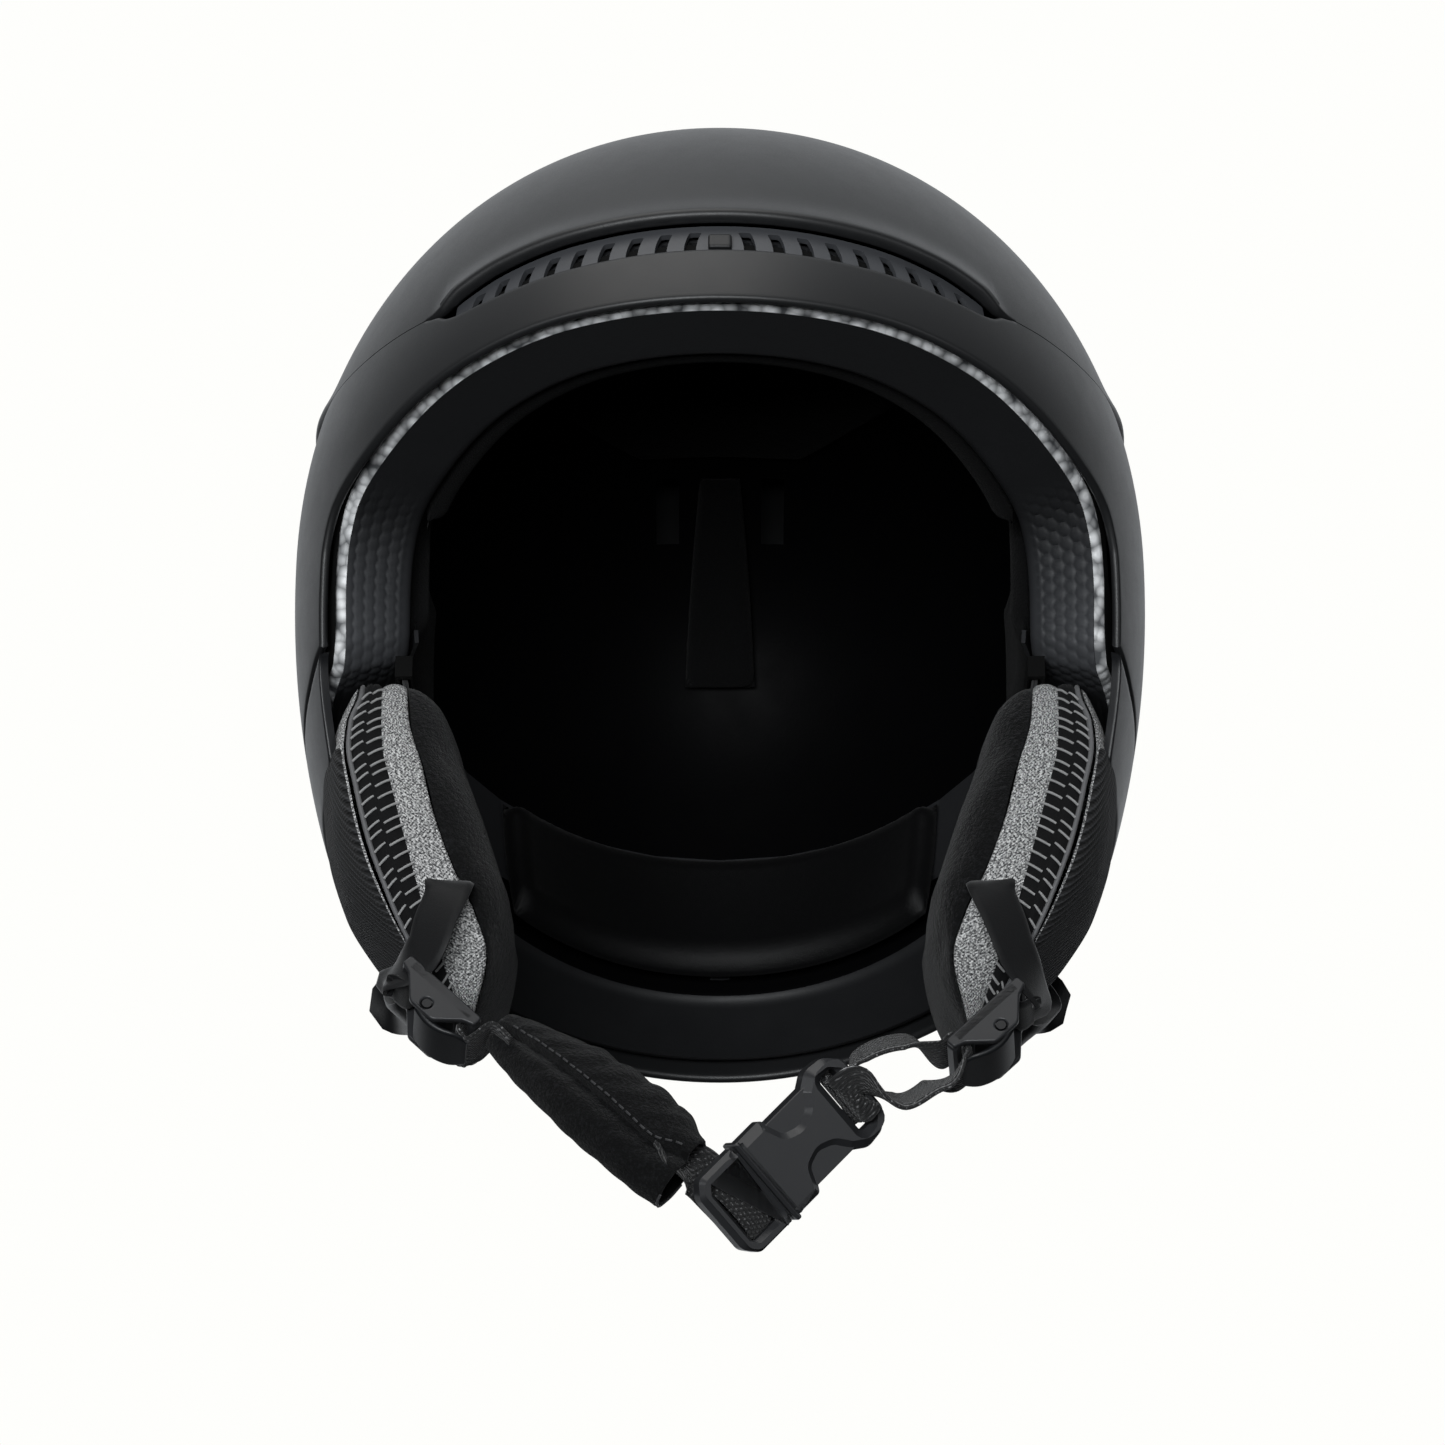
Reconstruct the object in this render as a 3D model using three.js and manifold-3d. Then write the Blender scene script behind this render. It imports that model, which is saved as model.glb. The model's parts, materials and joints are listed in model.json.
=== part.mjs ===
// Ski helmet: hard shell over a foam liner, a front vent with a sliding shutter, a rear fit dial with its
// rack-driven head band, comfort pads, ear pads, a buckled chin strap and a goggle clip.
//
// Millimetres. +Z is up, the wearer looks along -Y, and the wearer's left is +X. The origin is the middle
// of the head cavity, at the level where the shell is widest.
//
// The shell is egg shaped, so most pieces are patches of one surface. A place on it is an azimuth, 0 at the
// forehead and growing towards +X, and an elevation, 90 at the crown. Both are in degrees.

import * as THREE from "three";
import { mergeVertices } from "three/addons/utils/BufferGeometryUtils.js";
import Module from "manifold-3d";

const wasm = await Module();
wasm.setup();

// ---------------------------------------------------------------- driving dimensions

const HALF_WIDTH = 112;
const FRONT = 133;
const BACK = 140;
const TOP = 118;
const BOTTOM = 170; // the egg's lower half axis: the sides pull in only a little
const POWER = 2.05; // 2 is an ellipsoid
const WALL = 2.5; // shell wall
const FOAM_GAP = 4; // shell's outer surface to the foam
const CAVITY = 26; // shell's outer surface to the foam's inside
const CROWN_EXTRA = 4; // the foam is this much thicker over the crown
const SEAM_GAP = 0.3; // degrees between shell pieces
const FIT = 0.3; // clearance between touching pieces
const PAD_GAP = 1.2; // the hook and loop patches between a pad and the foam
const LIP = 2.6; // how far the dome's lower edge stands proud at the sides and back
const HOOD = 1.6; // and over the front vent
const LIP_SPAN = 5; // degrees over which it fades
const VENT_HALF = 33; // degrees from the middle to the end of the front vent
const SLOT_FIRST = 3; // azimuth of the grille's first slot
const SLOT_PITCH = 3.25;
const SLOTS_PER_SIDE = 9;
const WEB_WIDTH = 15;
const WEB_THICK = 1.6;

// ---------------------------------------------------------------- curves on the egg

// A smooth, non-overshooting curve through [x, y] points, for |x|: the helmet mirrors left to right.
function through(points) {
  const slope = points.map((p, i) => {
    if (i === 0 || i === points.length - 1) return 0;
    const before = (p[1] - points[i - 1][1]) / (p[0] - points[i - 1][0]);
    const after = (points[i + 1][1] - p[1]) / (points[i + 1][0] - p[0]);
    return before * after <= 0 ? 0 : (2 * before * after) / (before + after);
  });
  return (signed) => {
    const x = Math.min(Math.abs(signed), points[points.length - 1][0]);
    let i = 0;
    while (i < points.length - 2 && x > points[i + 1][0]) i++;
    const span = points[i + 1][0] - points[i][0];
    const t = (x - points[i][0]) / span;
    const rise = points[i + 1][1] - points[i][1];
    const start = slope[i] * span;
    const end = slope[i + 1] * span;
    return points[i][1] + t * (start + t * (3 * rise - 2 * start - end + t * (start + end - 2 * rise)));
  };
}

// The face opening and lower edge of the hard shell, with the side trims in place.
const shellRim = through([
  [0, 3.5], [16, 3.2], [30, 1.6], [47, -2.8], [55, -5.4], [59, -9.5], [61, -15], [62.3, -19],
  [64, -24], [67, -32.5], [72, -35], [90, -35.3], [140, -34.5], [180, -35.8],
]);
// The joint between the shell and a side trim, which the shell follows from azimuth 63 to 121.
const trimSeam = through([[62, -20.8], [72, -22.5], [90, -24.5], [108, -27.5], [117, -31], [121, -34.9]]);
// Where the dome overlaps the lower shell; over the vent it is the hood's edge.
const domeEdge = through([
  [0, 14.6], [17, 14.0], [26, 12.9], [31, 11.6], [34, 10.8], [42, 11.6], [52, 13], [64, 15.6],
  [76, 18.4], [92, 19.6], [120, 18], [150, 13.5], [180, 11.5],
]);
const ventSill = through([[0, 10.6], [17, 10.1], [26, 9.4], [31, 9.2], [VENT_HALF, 9.6], [34.5, 10.5]]);
const foamRim = through([
  [0, 4.1], [16, 3.8], [30, 2.3], [46, -1.9], [54, -4.6], [57.6, -8.5], [59.8, -14], [61, -18.5],
  [62.2, -21.5], [65, -23.8], [75, -24.6], [105, -25], [125, -31], [145, -34], [180, -34.8],
]);

// Columns of the all-round pieces, closer together where the face opening turns down to the ears.
const AZIMUTHS = [
  0, 8, 16, 24, 31, 34.5, 42, 49, 54, 57.5, 59.6, 61, 62.2, 64, 67, 72, 81, 92, 104, 114, 125, 139, 153, 167,
];

const radians = THREE.MathUtils.degToRad;

function direction(azimuth, elevation) {
  const a = radians(azimuth);
  const e = radians(elevation);
  return new THREE.Vector3(Math.cos(e) * Math.sin(a), -Math.cos(e) * Math.cos(a), Math.sin(e));
}

// Distance from the origin to the shell's outer surface.
function eggRadius(azimuth, elevation) {
  const d = direction(azimuth, elevation);
  const long = d.y < 0 ? FRONT : BACK;
  const tall = d.z > 0 ? TOP : BOTTOM;
  const parts = [d.x / HALF_WIDTH, d.y / long, d.z / tall].map((part) => Math.abs(part) ** POWER);
  return (parts[0] + parts[1] + parts[2]) ** (-1 / POWER);
}

// The egg moved in by a depth, in mm.
const inset = (depth) => (azimuth, elevation) => eggRadius(azimuth, elevation) - depth;

function cavityRadius(azimuth, elevation) {
  const crown = THREE.MathUtils.smoothstep(elevation, 20, 60) * CROWN_EXTRA;
  return eggRadius(azimuth, elevation) - CAVITY - crown;
}

const inCavity = (depth) => (azimuth, elevation) => cavityRadius(azimuth, elevation) - depth;

const onEgg = (azimuth, elevation, radius) =>
  direction(azimuth, elevation).multiplyScalar(radius(azimuth, elevation));

// ---------------------------------------------------------------- solids

// A plate between two surfaces: columns of places, each running from row 0 to the last row.
function plate(columns, outer, inner, { ring = false, pole = false } = {}) {
  const count = columns.length;
  const rows = columns[0].length;
  const points = [];
  const triangles = [];
  for (const surface of [outer, inner])
    for (const column of columns) for (const [a, e] of column) points.push(...onEgg(a, e, surface).toArray());
  const at = (side, i, j) => {
    const column = pole && j === rows - 1 ? 0 : i % count; // every column ends in the same pole
    return (side * count + column) * rows + j;
  };
  const quad = (a, b, c, d) => {
    if (a !== b && b !== c && c !== a) triangles.push(a, b, c);
    if (a !== c && c !== d && d !== a) triangles.push(a, c, d);
  };
  const lastColumn = ring ? count : count - 1;
  for (let i = 0; i < lastColumn; i++) {
    for (let j = 0; j < rows - 1; j++) {
      quad(at(0, i, j), at(0, i + 1, j), at(0, i + 1, j + 1), at(0, i, j + 1));
      quad(at(1, i, j + 1), at(1, i + 1, j + 1), at(1, i + 1, j), at(1, i, j));
    }
    quad(at(1, i, 0), at(1, i + 1, 0), at(0, i + 1, 0), at(0, i, 0));
    if (!pole) quad(at(0, i, rows - 1), at(0, i + 1, rows - 1), at(1, i + 1, rows - 1), at(1, i, rows - 1));
  }
  if (!ring)
    for (let j = 0; j < rows - 1; j++) {
      quad(at(1, 0, j), at(0, 0, j), at(0, 0, j + 1), at(1, 0, j + 1));
      quad(at(0, lastColumn, j), at(1, lastColumn, j), at(1, lastColumn, j + 1), at(0, lastColumn, j + 1));
    }
  return solidOf(new THREE.BufferGeometry()
    .setAttribute("position", new THREE.Float32BufferAttribute(points, 3))
    .setIndex(triangles));
}

const between = (from, to, steps) =>
  Array.from({ length: steps + 1 }, (_, i) => from + ((to - from) * i) / steps);

// Columns for a plate: azimuths across, and elevations from low(azimuth) to high(azimuth).
const columnsOf = (azimuths, low, high, rows) =>
  azimuths.map((a) => between(low(a), high(a), rows).map((e) => [a, e]));

const wholeRing = [...AZIMUTHS, 180, ...AZIMUTHS.slice(1).reverse().map((a) => -a)];

function solidOf(geometry) {
  const bare = geometry.clone();
  bare.deleteAttribute("normal");
  bare.deleteAttribute("uv");
  const merged = mergeVertices(bare, 1e-4);
  return new wasm.Manifold(new wasm.Mesh({
    numProp: 3,
    vertProperties: new Float32Array(merged.attributes.position.array),
    triVerts: new Uint32Array(merged.index.array),
  }));
}

function geometryOf(solid) {
  const mesh = solid.getMesh();
  return new THREE.BufferGeometry()
    .setAttribute("position", new THREE.BufferAttribute(new Float32Array(mesh.vertProperties), 3))
    .setIndex(new THREE.BufferAttribute(new Uint32Array(mesh.triVerts), 1));
}

const box = (x0, x1, y0, y1, z0, z1) =>
  new THREE.BoxGeometry(x1 - x0, y1 - y0, z1 - z0).translate((x0 + x1) / 2, (y0 + y1) / 2, (z0 + z1) / 2);

// A round bar along Y.
const barAlongY = (radius, y0, y1, x, z, sides = 24) =>
  new THREE.CylinderGeometry(radius, radius, y1 - y0, sides).translate(x, (y0 + y1) / 2, z);

// A round bar along X, centred on x = 0.
const barAlongX = (radius, length, y, z, sides = 16) =>
  new THREE.CylinderGeometry(radius, radius, length, sides).rotateZ(Math.PI / 2).translate(0, y, z);

const joined = (...geometries) => geometries.map(solidOf).reduce((a, b) => a.add(b));

// A closed outline in a plane, with thickness centred on that plane.
function slab(outline, thickness, holes = []) {
  const shape = new THREE.Shape(outline.map(([x, y]) => new THREE.Vector2(x, y)));
  for (const hole of holes) shape.holes.push(new THREE.Path(hole.map(([x, y]) => new THREE.Vector2(x, y))));
  const raised = new THREE.ExtrudeGeometry(shape, { depth: thickness, bevelEnabled: false });
  return raised.translate(0, 0, -thickness / 2);
}

// A closed solid through rings of points, all of one length, listed from one end to the other.
function loft(rings) {
  const n = rings[0].length;
  const points = rings.flat();
  const triangles = [];
  for (let k = 0; k < rings.length - 1; k++)
    for (let i = 0; i < n; i++) {
      const a = k * n + i;
      const b = k * n + ((i + 1) % n);
      triangles.push(a, b, b + n, a, b + n, a + n);
    }
  for (const [ring, flip] of [[0, true], [rings.length - 1, false]]) {
    const centre = new THREE.Vector3();
    rings[ring].forEach((p) => centre.add(p));
    points.push(centre.divideScalar(n));
    const hub = points.length - 1;
    for (let i = 0; i < n; i++) {
      const a = ring * n + i;
      const b = ring * n + ((i + 1) % n);
      triangles.push(...(flip ? [b, a, hub] : [a, b, hub]));
    }
  }
  return new THREE.BufferGeometry()
    .setAttribute("position", new THREE.Float32BufferAttribute(points.flatMap((p) => p.toArray()), 3))
    .setIndex(triangles);
}

// A flat strap along a path. Each stop is [point, direction of the strap's width].
function strap(stops, width = WEB_WIDTH, thickness = WEB_THICK) {
  const rings = stops.map(([p, across], i) => {
    const before = stops[Math.max(i - 1, 0)][0];
    const after = stops[Math.min(i + 1, stops.length - 1)][0];
    const along = new THREE.Vector3().subVectors(after, before).normalize();
    const wide = across.clone().addScaledVector(along, -across.dot(along)).normalize();
    const normal = new THREE.Vector3().crossVectors(along, wide);
    return [[1, 1], [-1, 1], [-1, -1], [1, -1]].map(([w, t]) =>
      p.clone().addScaledVector(wide, (w * width) / 2).addScaledVector(normal, (t * thickness) / 2));
  });
  return loft(rings);
}

// Stops of a strap along a smooth curve through [point, width direction] keys.
function stopsAlong(keys, steps) {
  const path = new THREE.CatmullRomCurve3(keys.map((k) => k[0]));
  return between(0, 1, steps).map((t) => {
    const place = t * (keys.length - 1);
    const i = Math.min(Math.floor(place), keys.length - 2);
    return [path.getPoint(t), keys[i][1].clone().lerp(keys[i + 1][1], place - i).normalize()];
  });
}

// ---------------------------------------------------------------- materials and assembly

const finish = (color, roughness, metalness = 0) =>
  new THREE.MeshStandardMaterial({ color, roughness, metalness });
const FINISH = {
  shell: finish(0x1b1c1e, 0.5),
  trim: finish(0x17181b, 0.45),
  foam: finish(0x1d1e21, 0.8),
  plastic: finish(0x121316, 0.4),
  insert: finish(0x232528, 0.45),
  fleece: finish(0x0c0d11, 1),
  melange: finish(0x4a4a4c, 0.95),
  mesh: finish(0x101012, 0.9),
  webbing: finish(0x0c0c0d, 0.85),
  steel: finish(0x8d9094, 0.35, 1),
};

const helmet = new THREE.Group();

function add(name, shape, material) {
  const geometry = shape instanceof THREE.BufferGeometry ? shape : geometryOf(shape);
  const mesh = new THREE.Mesh(geometry, FINISH[material]);
  mesh.name = name;
  helmet.add(mesh);
}

const SIDES = [["left", 1], ["right", -1]];

// ---------------------------------------------------------------- hard shell and foam

// The dome's lower edge rolls outwards, and lies flush between the vent and the temples.
const lipAt = through([[0, HOOD], [28, HOOD], [36, 0.2], [62, 0.2], [80, LIP], [180, LIP]]);
function lipHeight(azimuth, elevation) {
  const above = (elevation - domeEdge(azimuth)) / LIP_SPAN;
  return lipAt(azimuth) * Math.exp(-above * above * 2.5);
}

// Two exhaust channels in the foam at the back of the crown, one each side of the middle. The shell covers
// them.
const SLOT_X = 15;
const SLOT_WIDTH = 6.5;
function exhaustCutter(side) {
  const ray = (elevation, r) => [-Math.cos(radians(elevation)) * r, Math.sin(radians(elevation)) * r];
  const wedge = slab([ray(38.5, 60), ray(50.5, 60), ray(50.5, 170), ray(38.5, 170)], SLOT_WIDTH);
  // The outline's X is -Y of the helmet and its Y is +Z.
  const turn = new THREE.Matrix4().makeBasis(
    new THREE.Vector3(0, -1, 0), new THREE.Vector3(0, 0, 1), new THREE.Vector3(-1, 0, 0));
  return solidOf(wedge.applyMatrix4(turn).translate(side * SLOT_X, 0, 0));
}

const DIAL = { radius: 13.5, z: -64, window: 15.3, y0: 117.9, y1: 129 };
const HOUSING = { halfWidth: 22, y0: 106.4, y1: 116.9, z0: -80.5, z1: -49, room: 2.5 };
const RACK_ROOM = { halfWidth: 47, y0: 102.6, y1: 107.4, z0: -73.5, z1: -54.5 };

function buildShell() {
  const dome = plate(
    columnsOf(wholeRing, domeEdge, () => 90, 7),
    (a, e) => eggRadius(a, e) + lipHeight(a, e), inset(WALL), { ring: true, pole: true });
  add("outer_shell", dome, "shell");

  const bandLow = (a) => {
    const side = Math.abs(a);
    return side > 62 && side < 121 ? Math.max(trimSeam(a), shellRim(a)) : shellRim(a);
  };
  const bandHigh = (a) => (Math.abs(a) < 34.5 ? ventSill(a) : domeEdge(a) - SEAM_GAP);
  const bandAzimuths = wholeRing.flatMap((a) => (Math.abs(a) === 114 ? [a, Math.sign(a) * 120.9] : [a]));
  bandAzimuths.sort((a, b) => a - b);
  const band = plate(columnsOf(bandAzimuths, bandLow, bandHigh, 4), inset(0), inset(WALL), { ring: true });
  const dialWindow = solidOf(barAlongY(DIAL.window, 112, 150, 0, DIAL.z, 32));
  add("brow_band", band.subtract(dialWindow), "shell");
}

// The lower side piece that an ear pad clips into, in front of and over the ear.
function buildSideTrims() {
  for (const [name, side] of SIDES) {
    const columns = between(0, 1, 9).map((u) => between(0, 1, 3).map((v) => {
      const start = THREE.MathUtils.lerp(67.8, 63.2, v);
      const azimuth = start + (120 - start) * u;
      const low = shellRim(azimuth);
      return [side * azimuth, low + (trimSeam(azimuth) - 2 * SEAM_GAP - low) * v];
    }));
    if (side < 0) columns.reverse();
    add(`side_trim_${name}`, plate(columns, inset(0), inset(WALL)), "trim");
  }
}

const EAR_TABS = [-18, 18]; // where an ear pad's snap tabs enter the foam, along Y
const EAR_FRAME_X = 86;
const CHAMBER = { half: 36, depth: 11, margin: 2.4 }; // the hollow behind the front vent
const DUCT = { azimuth: 18, half: 4, low: 9.5, high: 13.5 }; // from that hollow into the head cavity
const THROUGH = 40; // a depth beyond the foam's inside
const BELOW = -60; // a height below the foam's lower edge at the sides

function buildFoam() {
  const blank = plate(
    columnsOf(wholeRing, foamRim, () => 90, 9), inset(FOAM_GAP), cavityRadius, { ring: true, pole: true });
  const chamber = columnsOf(between(-CHAMBER.half, CHAMBER.half, 12),
    (a) => ventSill(a) - CHAMBER.margin, (a) => domeEdge(a) + CHAMBER.margin, 1);
  const cuts = [exhaustCutter(1), exhaustCutter(-1), plate(chamber, inset(0), inset(CHAMBER.depth))];
  for (const [name, side] of SIDES) {
    const middle = side * DUCT.azimuth;
    const across = [middle - DUCT.half, middle + DUCT.half];
    cuts.push(plate(columnsOf(across, () => DUCT.low, () => DUCT.high, 1), inset(0), inset(THROUGH)));
    const x = side * EAR_FRAME_X;
    for (const y of EAR_TABS) cuts.push(solidOf(box(x - 3.4, x + 3.4, y - 7, y + 7, BELOW, -40)));
    for (const [run, keys] of Object.entries(strapKeys(name)))
      cuts.push(anchorRoom(side * keys[0][0].x, keys[0][0].y), strapRoom(name, run));
  }
  const wide = HOUSING.halfWidth + HOUSING.room;
  cuts.push(solidOf(box(-wide, wide, 90, 140, -110, HOUSING.z1 + 2)), rackRoom());
  add("foam_liner", cuts.reduce((foam, cut) => foam.subtract(cut), blank), "foam");
}

function anchorRoom(x, y) {
  const wide = ANCHOR.width / 2 + FIT;
  const deep = ANCHOR.depth / 2 + FIT;
  return solidOf(box(x - deep, x + deep, y - wide, y + wide, BELOW, ANCHOR.z1 + FIT));
}

function rackRoom() {
  const { halfWidth, y0, y1, z0, z1 } = RACK_ROOM;
  return solidOf(box(-halfWidth, halfWidth, y0, y1, z0, z1));
}

// ---------------------------------------------------------------- front vent

const ventArc = between(-VENT_HALF + 1, VENT_HALF - 1, 16);
const VENT_SLOT_WIDTH = 3;
const BUTTON = { width: 5.8, height: 4.6, neck: 2, neckHeight: 1.6, travel: 3.9 };
const GRILLE_DEPTH = [3.5, 5.1];
const SHUTTER_DEPTH = [6.2, 7.5];

// A box that stands on the egg: x across, y out along the surface's radius, z up.
function boxOnEgg(azimuth, elevation, width, height, out, inn) {
  const middle = (out + inn) / 2;
  const place = onEgg(azimuth, elevation, inset(middle));
  return new THREE.BoxGeometry(width, inn - out, height)
    .rotateX(-radians(elevation)).rotateZ(radians(azimuth)).translate(place.x, place.y, place.z);
}

const slotAzimuths = between(0, SLOTS_PER_SIDE - 1, SLOTS_PER_SIDE - 1)
  .flatMap((k) => [SLOT_FIRST + SLOT_PITCH * k, -SLOT_FIRST - SLOT_PITCH * k]);
const slotHeight = (a) => (ventSill(a) + domeEdge(a)) / 2 + 0.1;
const slotTall = (a) => 1.85 * (domeEdge(a) - ventSill(a)); // mm, over degrees of opening

function buildFrontVent() {
  let grille = plate(columnsOf(ventArc, (a) => ventSill(a) - 1.2, (a) => domeEdge(a) + 1.2, 1),
    inset(GRILLE_DEPTH[0]), inset(GRILLE_DEPTH[1]));
  let shutter = plate(columnsOf(between(-31, 31, 16), (a) => ventSill(a) - 0.9, (a) => domeEdge(a) + 0.9, 1),
    inset(SHUTTER_DEPTH[0]), inset(SHUTTER_DEPTH[1]));
  for (const a of slotAzimuths) {
    const slot = (out, inn) => solidOf(boxOnEgg(a, slotHeight(a), VENT_SLOT_WIDTH, slotTall(a), out, inn));
    grille = grille.subtract(slot(0, 5.5));
    shutter = shutter.subtract(slot(5.5, 9));
  }
  const neckRoom = BUTTON.neck + 2 * BUTTON.travel;
  const neckSlot = boxOnEgg(0, slotHeight(0), neckRoom, BUTTON.neckHeight + 0.8, 0, SHUTTER_DEPTH[0]);
  grille = grille.subtract(solidOf(neckSlot));
  add("vent_grille", grille, "insert");
  const cap = boxOnEgg(0, slotHeight(0), BUTTON.width, BUTTON.height, 1.2, 3.1);
  const neck = boxOnEgg(0, slotHeight(0), BUTTON.neck, BUTTON.neckHeight, 2.5, 6.6);
  add("vent_shutter", shutter.add(joined(cap, neck)), "plastic");
}

// ---------------------------------------------------------------- comfort pads

function pad(name, azimuths, low, high, rows, depth) {
  add(name, plate(columnsOf(azimuths, low, high, rows), inCavity(depth[0]), inCavity(depth[1])), "fleece");
}

function buildPads() {
  const browTop = (a) => 19 - Math.abs(a) / 12;
  pad("brow_pad", between(-56, 56, 10), (a) => foamRim(a) + 1.2, browTop, 2, [PAD_GAP, 7.5]);
  for (const [name, side] of SIDES) {
    const azimuths = [64, 74, 86, 98, 110].map((a) => side * a).sort((a, b) => a - b);
    pad(`side_pad_${name}`, azimuths, () => -19, () => 9, 2, [PAD_GAP, 7.5]);
  }
  const crownAzimuths = between(-180, 157.5, 15);
  add("crown_pad", plate(columnsOf(crownAzimuths, () => 54, () => 90, 2), inCavity(PAD_GAP), inCavity(7),
    { ring: true, pole: true }), "fleece");
  pad("rear_pad", [174.5, 185.5], () => 16, () => 51, 4, [2.1, 7]);
}

// ---------------------------------------------------------------- fit system

const PINION = { teeth: 8, module: 1, y0: 103.6, y1: 105.6 };
const PITCH_RADIUS = (PINION.teeth * PINION.module) / 2;
const TOOTH_PITCH = Math.PI * PINION.module;

function buildCradle() {
  const columns = columnsOf(between(122, 238, 12), () => -25.5, () => -12, 2);
  const cradle = plate(columns, inCavity(1.9), inCavity(3.4));
  add("fit_cradle", cradle.subtract(rackRoom()), "plastic");
  for (const [name, side] of SIDES) {
    const azimuths = [64, 72, 81, 92, 104, 112, 120.5].map((a) => side * a).sort((a, b) => a - b);
    const low = (a) => -21.6 - (Math.abs(a) - 64) * 0.02;
    const columns = columnsOf(azimuths, low, (a) => low(a) + 2.2, 1);
    add(`head_band_${name}`, plate(columns, inCavity(1.6), inCavity(2.8)), "plastic");
  }
  pad("nape_pad", between(141, 219, 8), () => -33.5, () => -13.5, 3, [4, 11]);
}

// A rack bar along X. Its teeth point along `up` times +Z at the pinion's pitch line.
function rack(x0, x1, up) {
  const back = -up * (PITCH_RADIUS + 3.6);
  const root = -up * (PITCH_RADIUS + 0.95);
  const tip = -up * (PITCH_RADIUS - 0.6);
  const outline = [[x0, back], [x1, back], [x1, root]];
  const teeth = Math.floor((x1 - x0) / TOOTH_PITCH) - 1;
  for (let k = teeth; k >= 0; k--) {
    // Teeth stand half a pitch off the middle, where the pinion has a gap.
    const middle = (Math.ceil(x0 / TOOTH_PITCH) + k + 0.5) * TOOTH_PITCH;
    if (middle + 0.9 > x1 || middle - 0.9 < x0) continue;
    outline.push([middle + 0.85, root], [middle + 0.3, tip], [middle - 0.3, tip], [middle - 0.85, root]);
  }
  outline.push([x0, root]);
  return gearSlab(up > 0 ? outline : outline.reverse());
}

// A slab of the gearing: the outline's X is the helmet's, and its Y is up from the dial's axis.
function gearSlab(outline) {
  const upright = new THREE.Matrix4().makeBasis(
    new THREE.Vector3(1, 0, 0), new THREE.Vector3(0, 0, 1), new THREE.Vector3(0, -1, 0));
  const flat = slab(outline, PINION.y1 - PINION.y0);
  return flat.applyMatrix4(upright).translate(0, (PINION.y0 + PINION.y1) / 2, DIAL.z);
}

// The gear, with a tooth straight up and one straight down turned half a pitch away from the racks' teeth.
function pinion() {
  const outline = [];
  for (let k = 0; k < PINION.teeth; k++) {
    const middle = (k / PINION.teeth) * 2 * Math.PI + Math.PI / 2;
    const step = (2 * Math.PI) / PINION.teeth;
    for (const [turn, r] of [[-0.27, 2.95], [-0.1, 4.55], [0.1, 4.55], [0.27, 2.95]])
      outline.push([r * Math.cos(middle + turn * step), r * Math.sin(middle + turn * step)]);
  }
  return gearSlab(outline);
}

function buildDial() {
  const shaft = barAlongY(2.6, PINION.y0, DIAL.y0 - FIT, 0, DIAL.z, 16);
  add("dial_pinion", joined(pinion(), shaft), "plastic");
  add("rack_upper", rack(-12, 40, -1), "plastic");
  add("rack_lower", rack(-40, 12, 1), "plastic");
  const bore = solidOf(barAlongY(3.1, 100, 125, 0, DIAL.z, 16));
  const { halfWidth, y0, y1, z0, z1 } = HOUSING;
  add("dial_housing", solidOf(box(-halfWidth, halfWidth, y0, y1, z0, z1)).subtract(bore), "plastic");
  let dial = solidOf(barAlongY(DIAL.radius, DIAL.y0, DIAL.y1, 0, DIAL.z, 36));
  const grips = 12;
  const centre = DIAL.radius + 0.7;
  for (let k = 0; k < grips; k++) {
    const turn = (k / grips) * 2 * Math.PI;
    const x = centre * Math.cos(turn);
    const z = DIAL.z + centre * Math.sin(turn);
    dial = dial.subtract(solidOf(barAlongY(1.7, DIAL.y0 + 2, DIAL.y1 + 1, x, z, 8)));
  }
  add("fit_dial", dial, "trim");
}

// ---------------------------------------------------------------- goggle clip

const CLIP = { y: 144.2, z: -4, hingeZ: 15, hingeY: 151, half: 15 };

function buildGoggleClip() {
  const { y, z, hingeZ, hingeY, half } = CLIP;
  const ear = (x) => box(x - 2, x + 2, y - 1, hingeY + 3, hingeZ - 3.2, hingeZ + 3.2);
  const seat = box(-half - 4, half + 4, y - 3.5, y, z - 22, hingeZ + 6);
  const catchBar = box(-6, 6, y - 1, y + 4.6, z - 21.5, z - 18.5);
  const backing = plate(columnsOf(between(165, 195, 4), () => -20, () => 20, 4), inset(-FIT), inset(THROUGH));
  const base = joined(seat, ear(half + 1.8), ear(-half - 1.8), catchBar);
  add("goggle_clip_base", base.subtract(backing).subtract(solidOf(pinBar(2.1))), "trim");
  add("goggle_clip_pin", pinBar(1.8), "steel");
  const knuckle = barAlongX(3.1, 2 * half - 1, hingeY, hingeZ);
  const leaf = box(-half + 1, half - 1, hingeY - 1.6, hingeY + 1.1, z - 22.5, hingeZ);
  const hook = box(-6, 6, y + 3.2, hingeY, z - 26, z - 22.2);
  add("goggle_clip_flap", joined(knuckle, leaf, hook).subtract(solidOf(pinBar(2.1))), "trim");
}

const pinBar = (radius) => barAlongX(radius, 2 * CLIP.half + 7, CLIP.hingeY, CLIP.hingeZ);

// ---------------------------------------------------------------- straps

const V = (x, y, z) => new THREE.Vector3(x, y, z);

// Places a part drawn in its own frame: x along, y across, z towards `normal`.
function placement(origin, along, normal) {
  const x = along.clone().normalize();
  const z = normal.clone().addScaledVector(x, -normal.dot(x)).normalize();
  const y = new THREE.Vector3().crossVectors(z, x);
  return new THREE.Matrix4().makeBasis(x, y, z).setPosition(origin);
}

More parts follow.
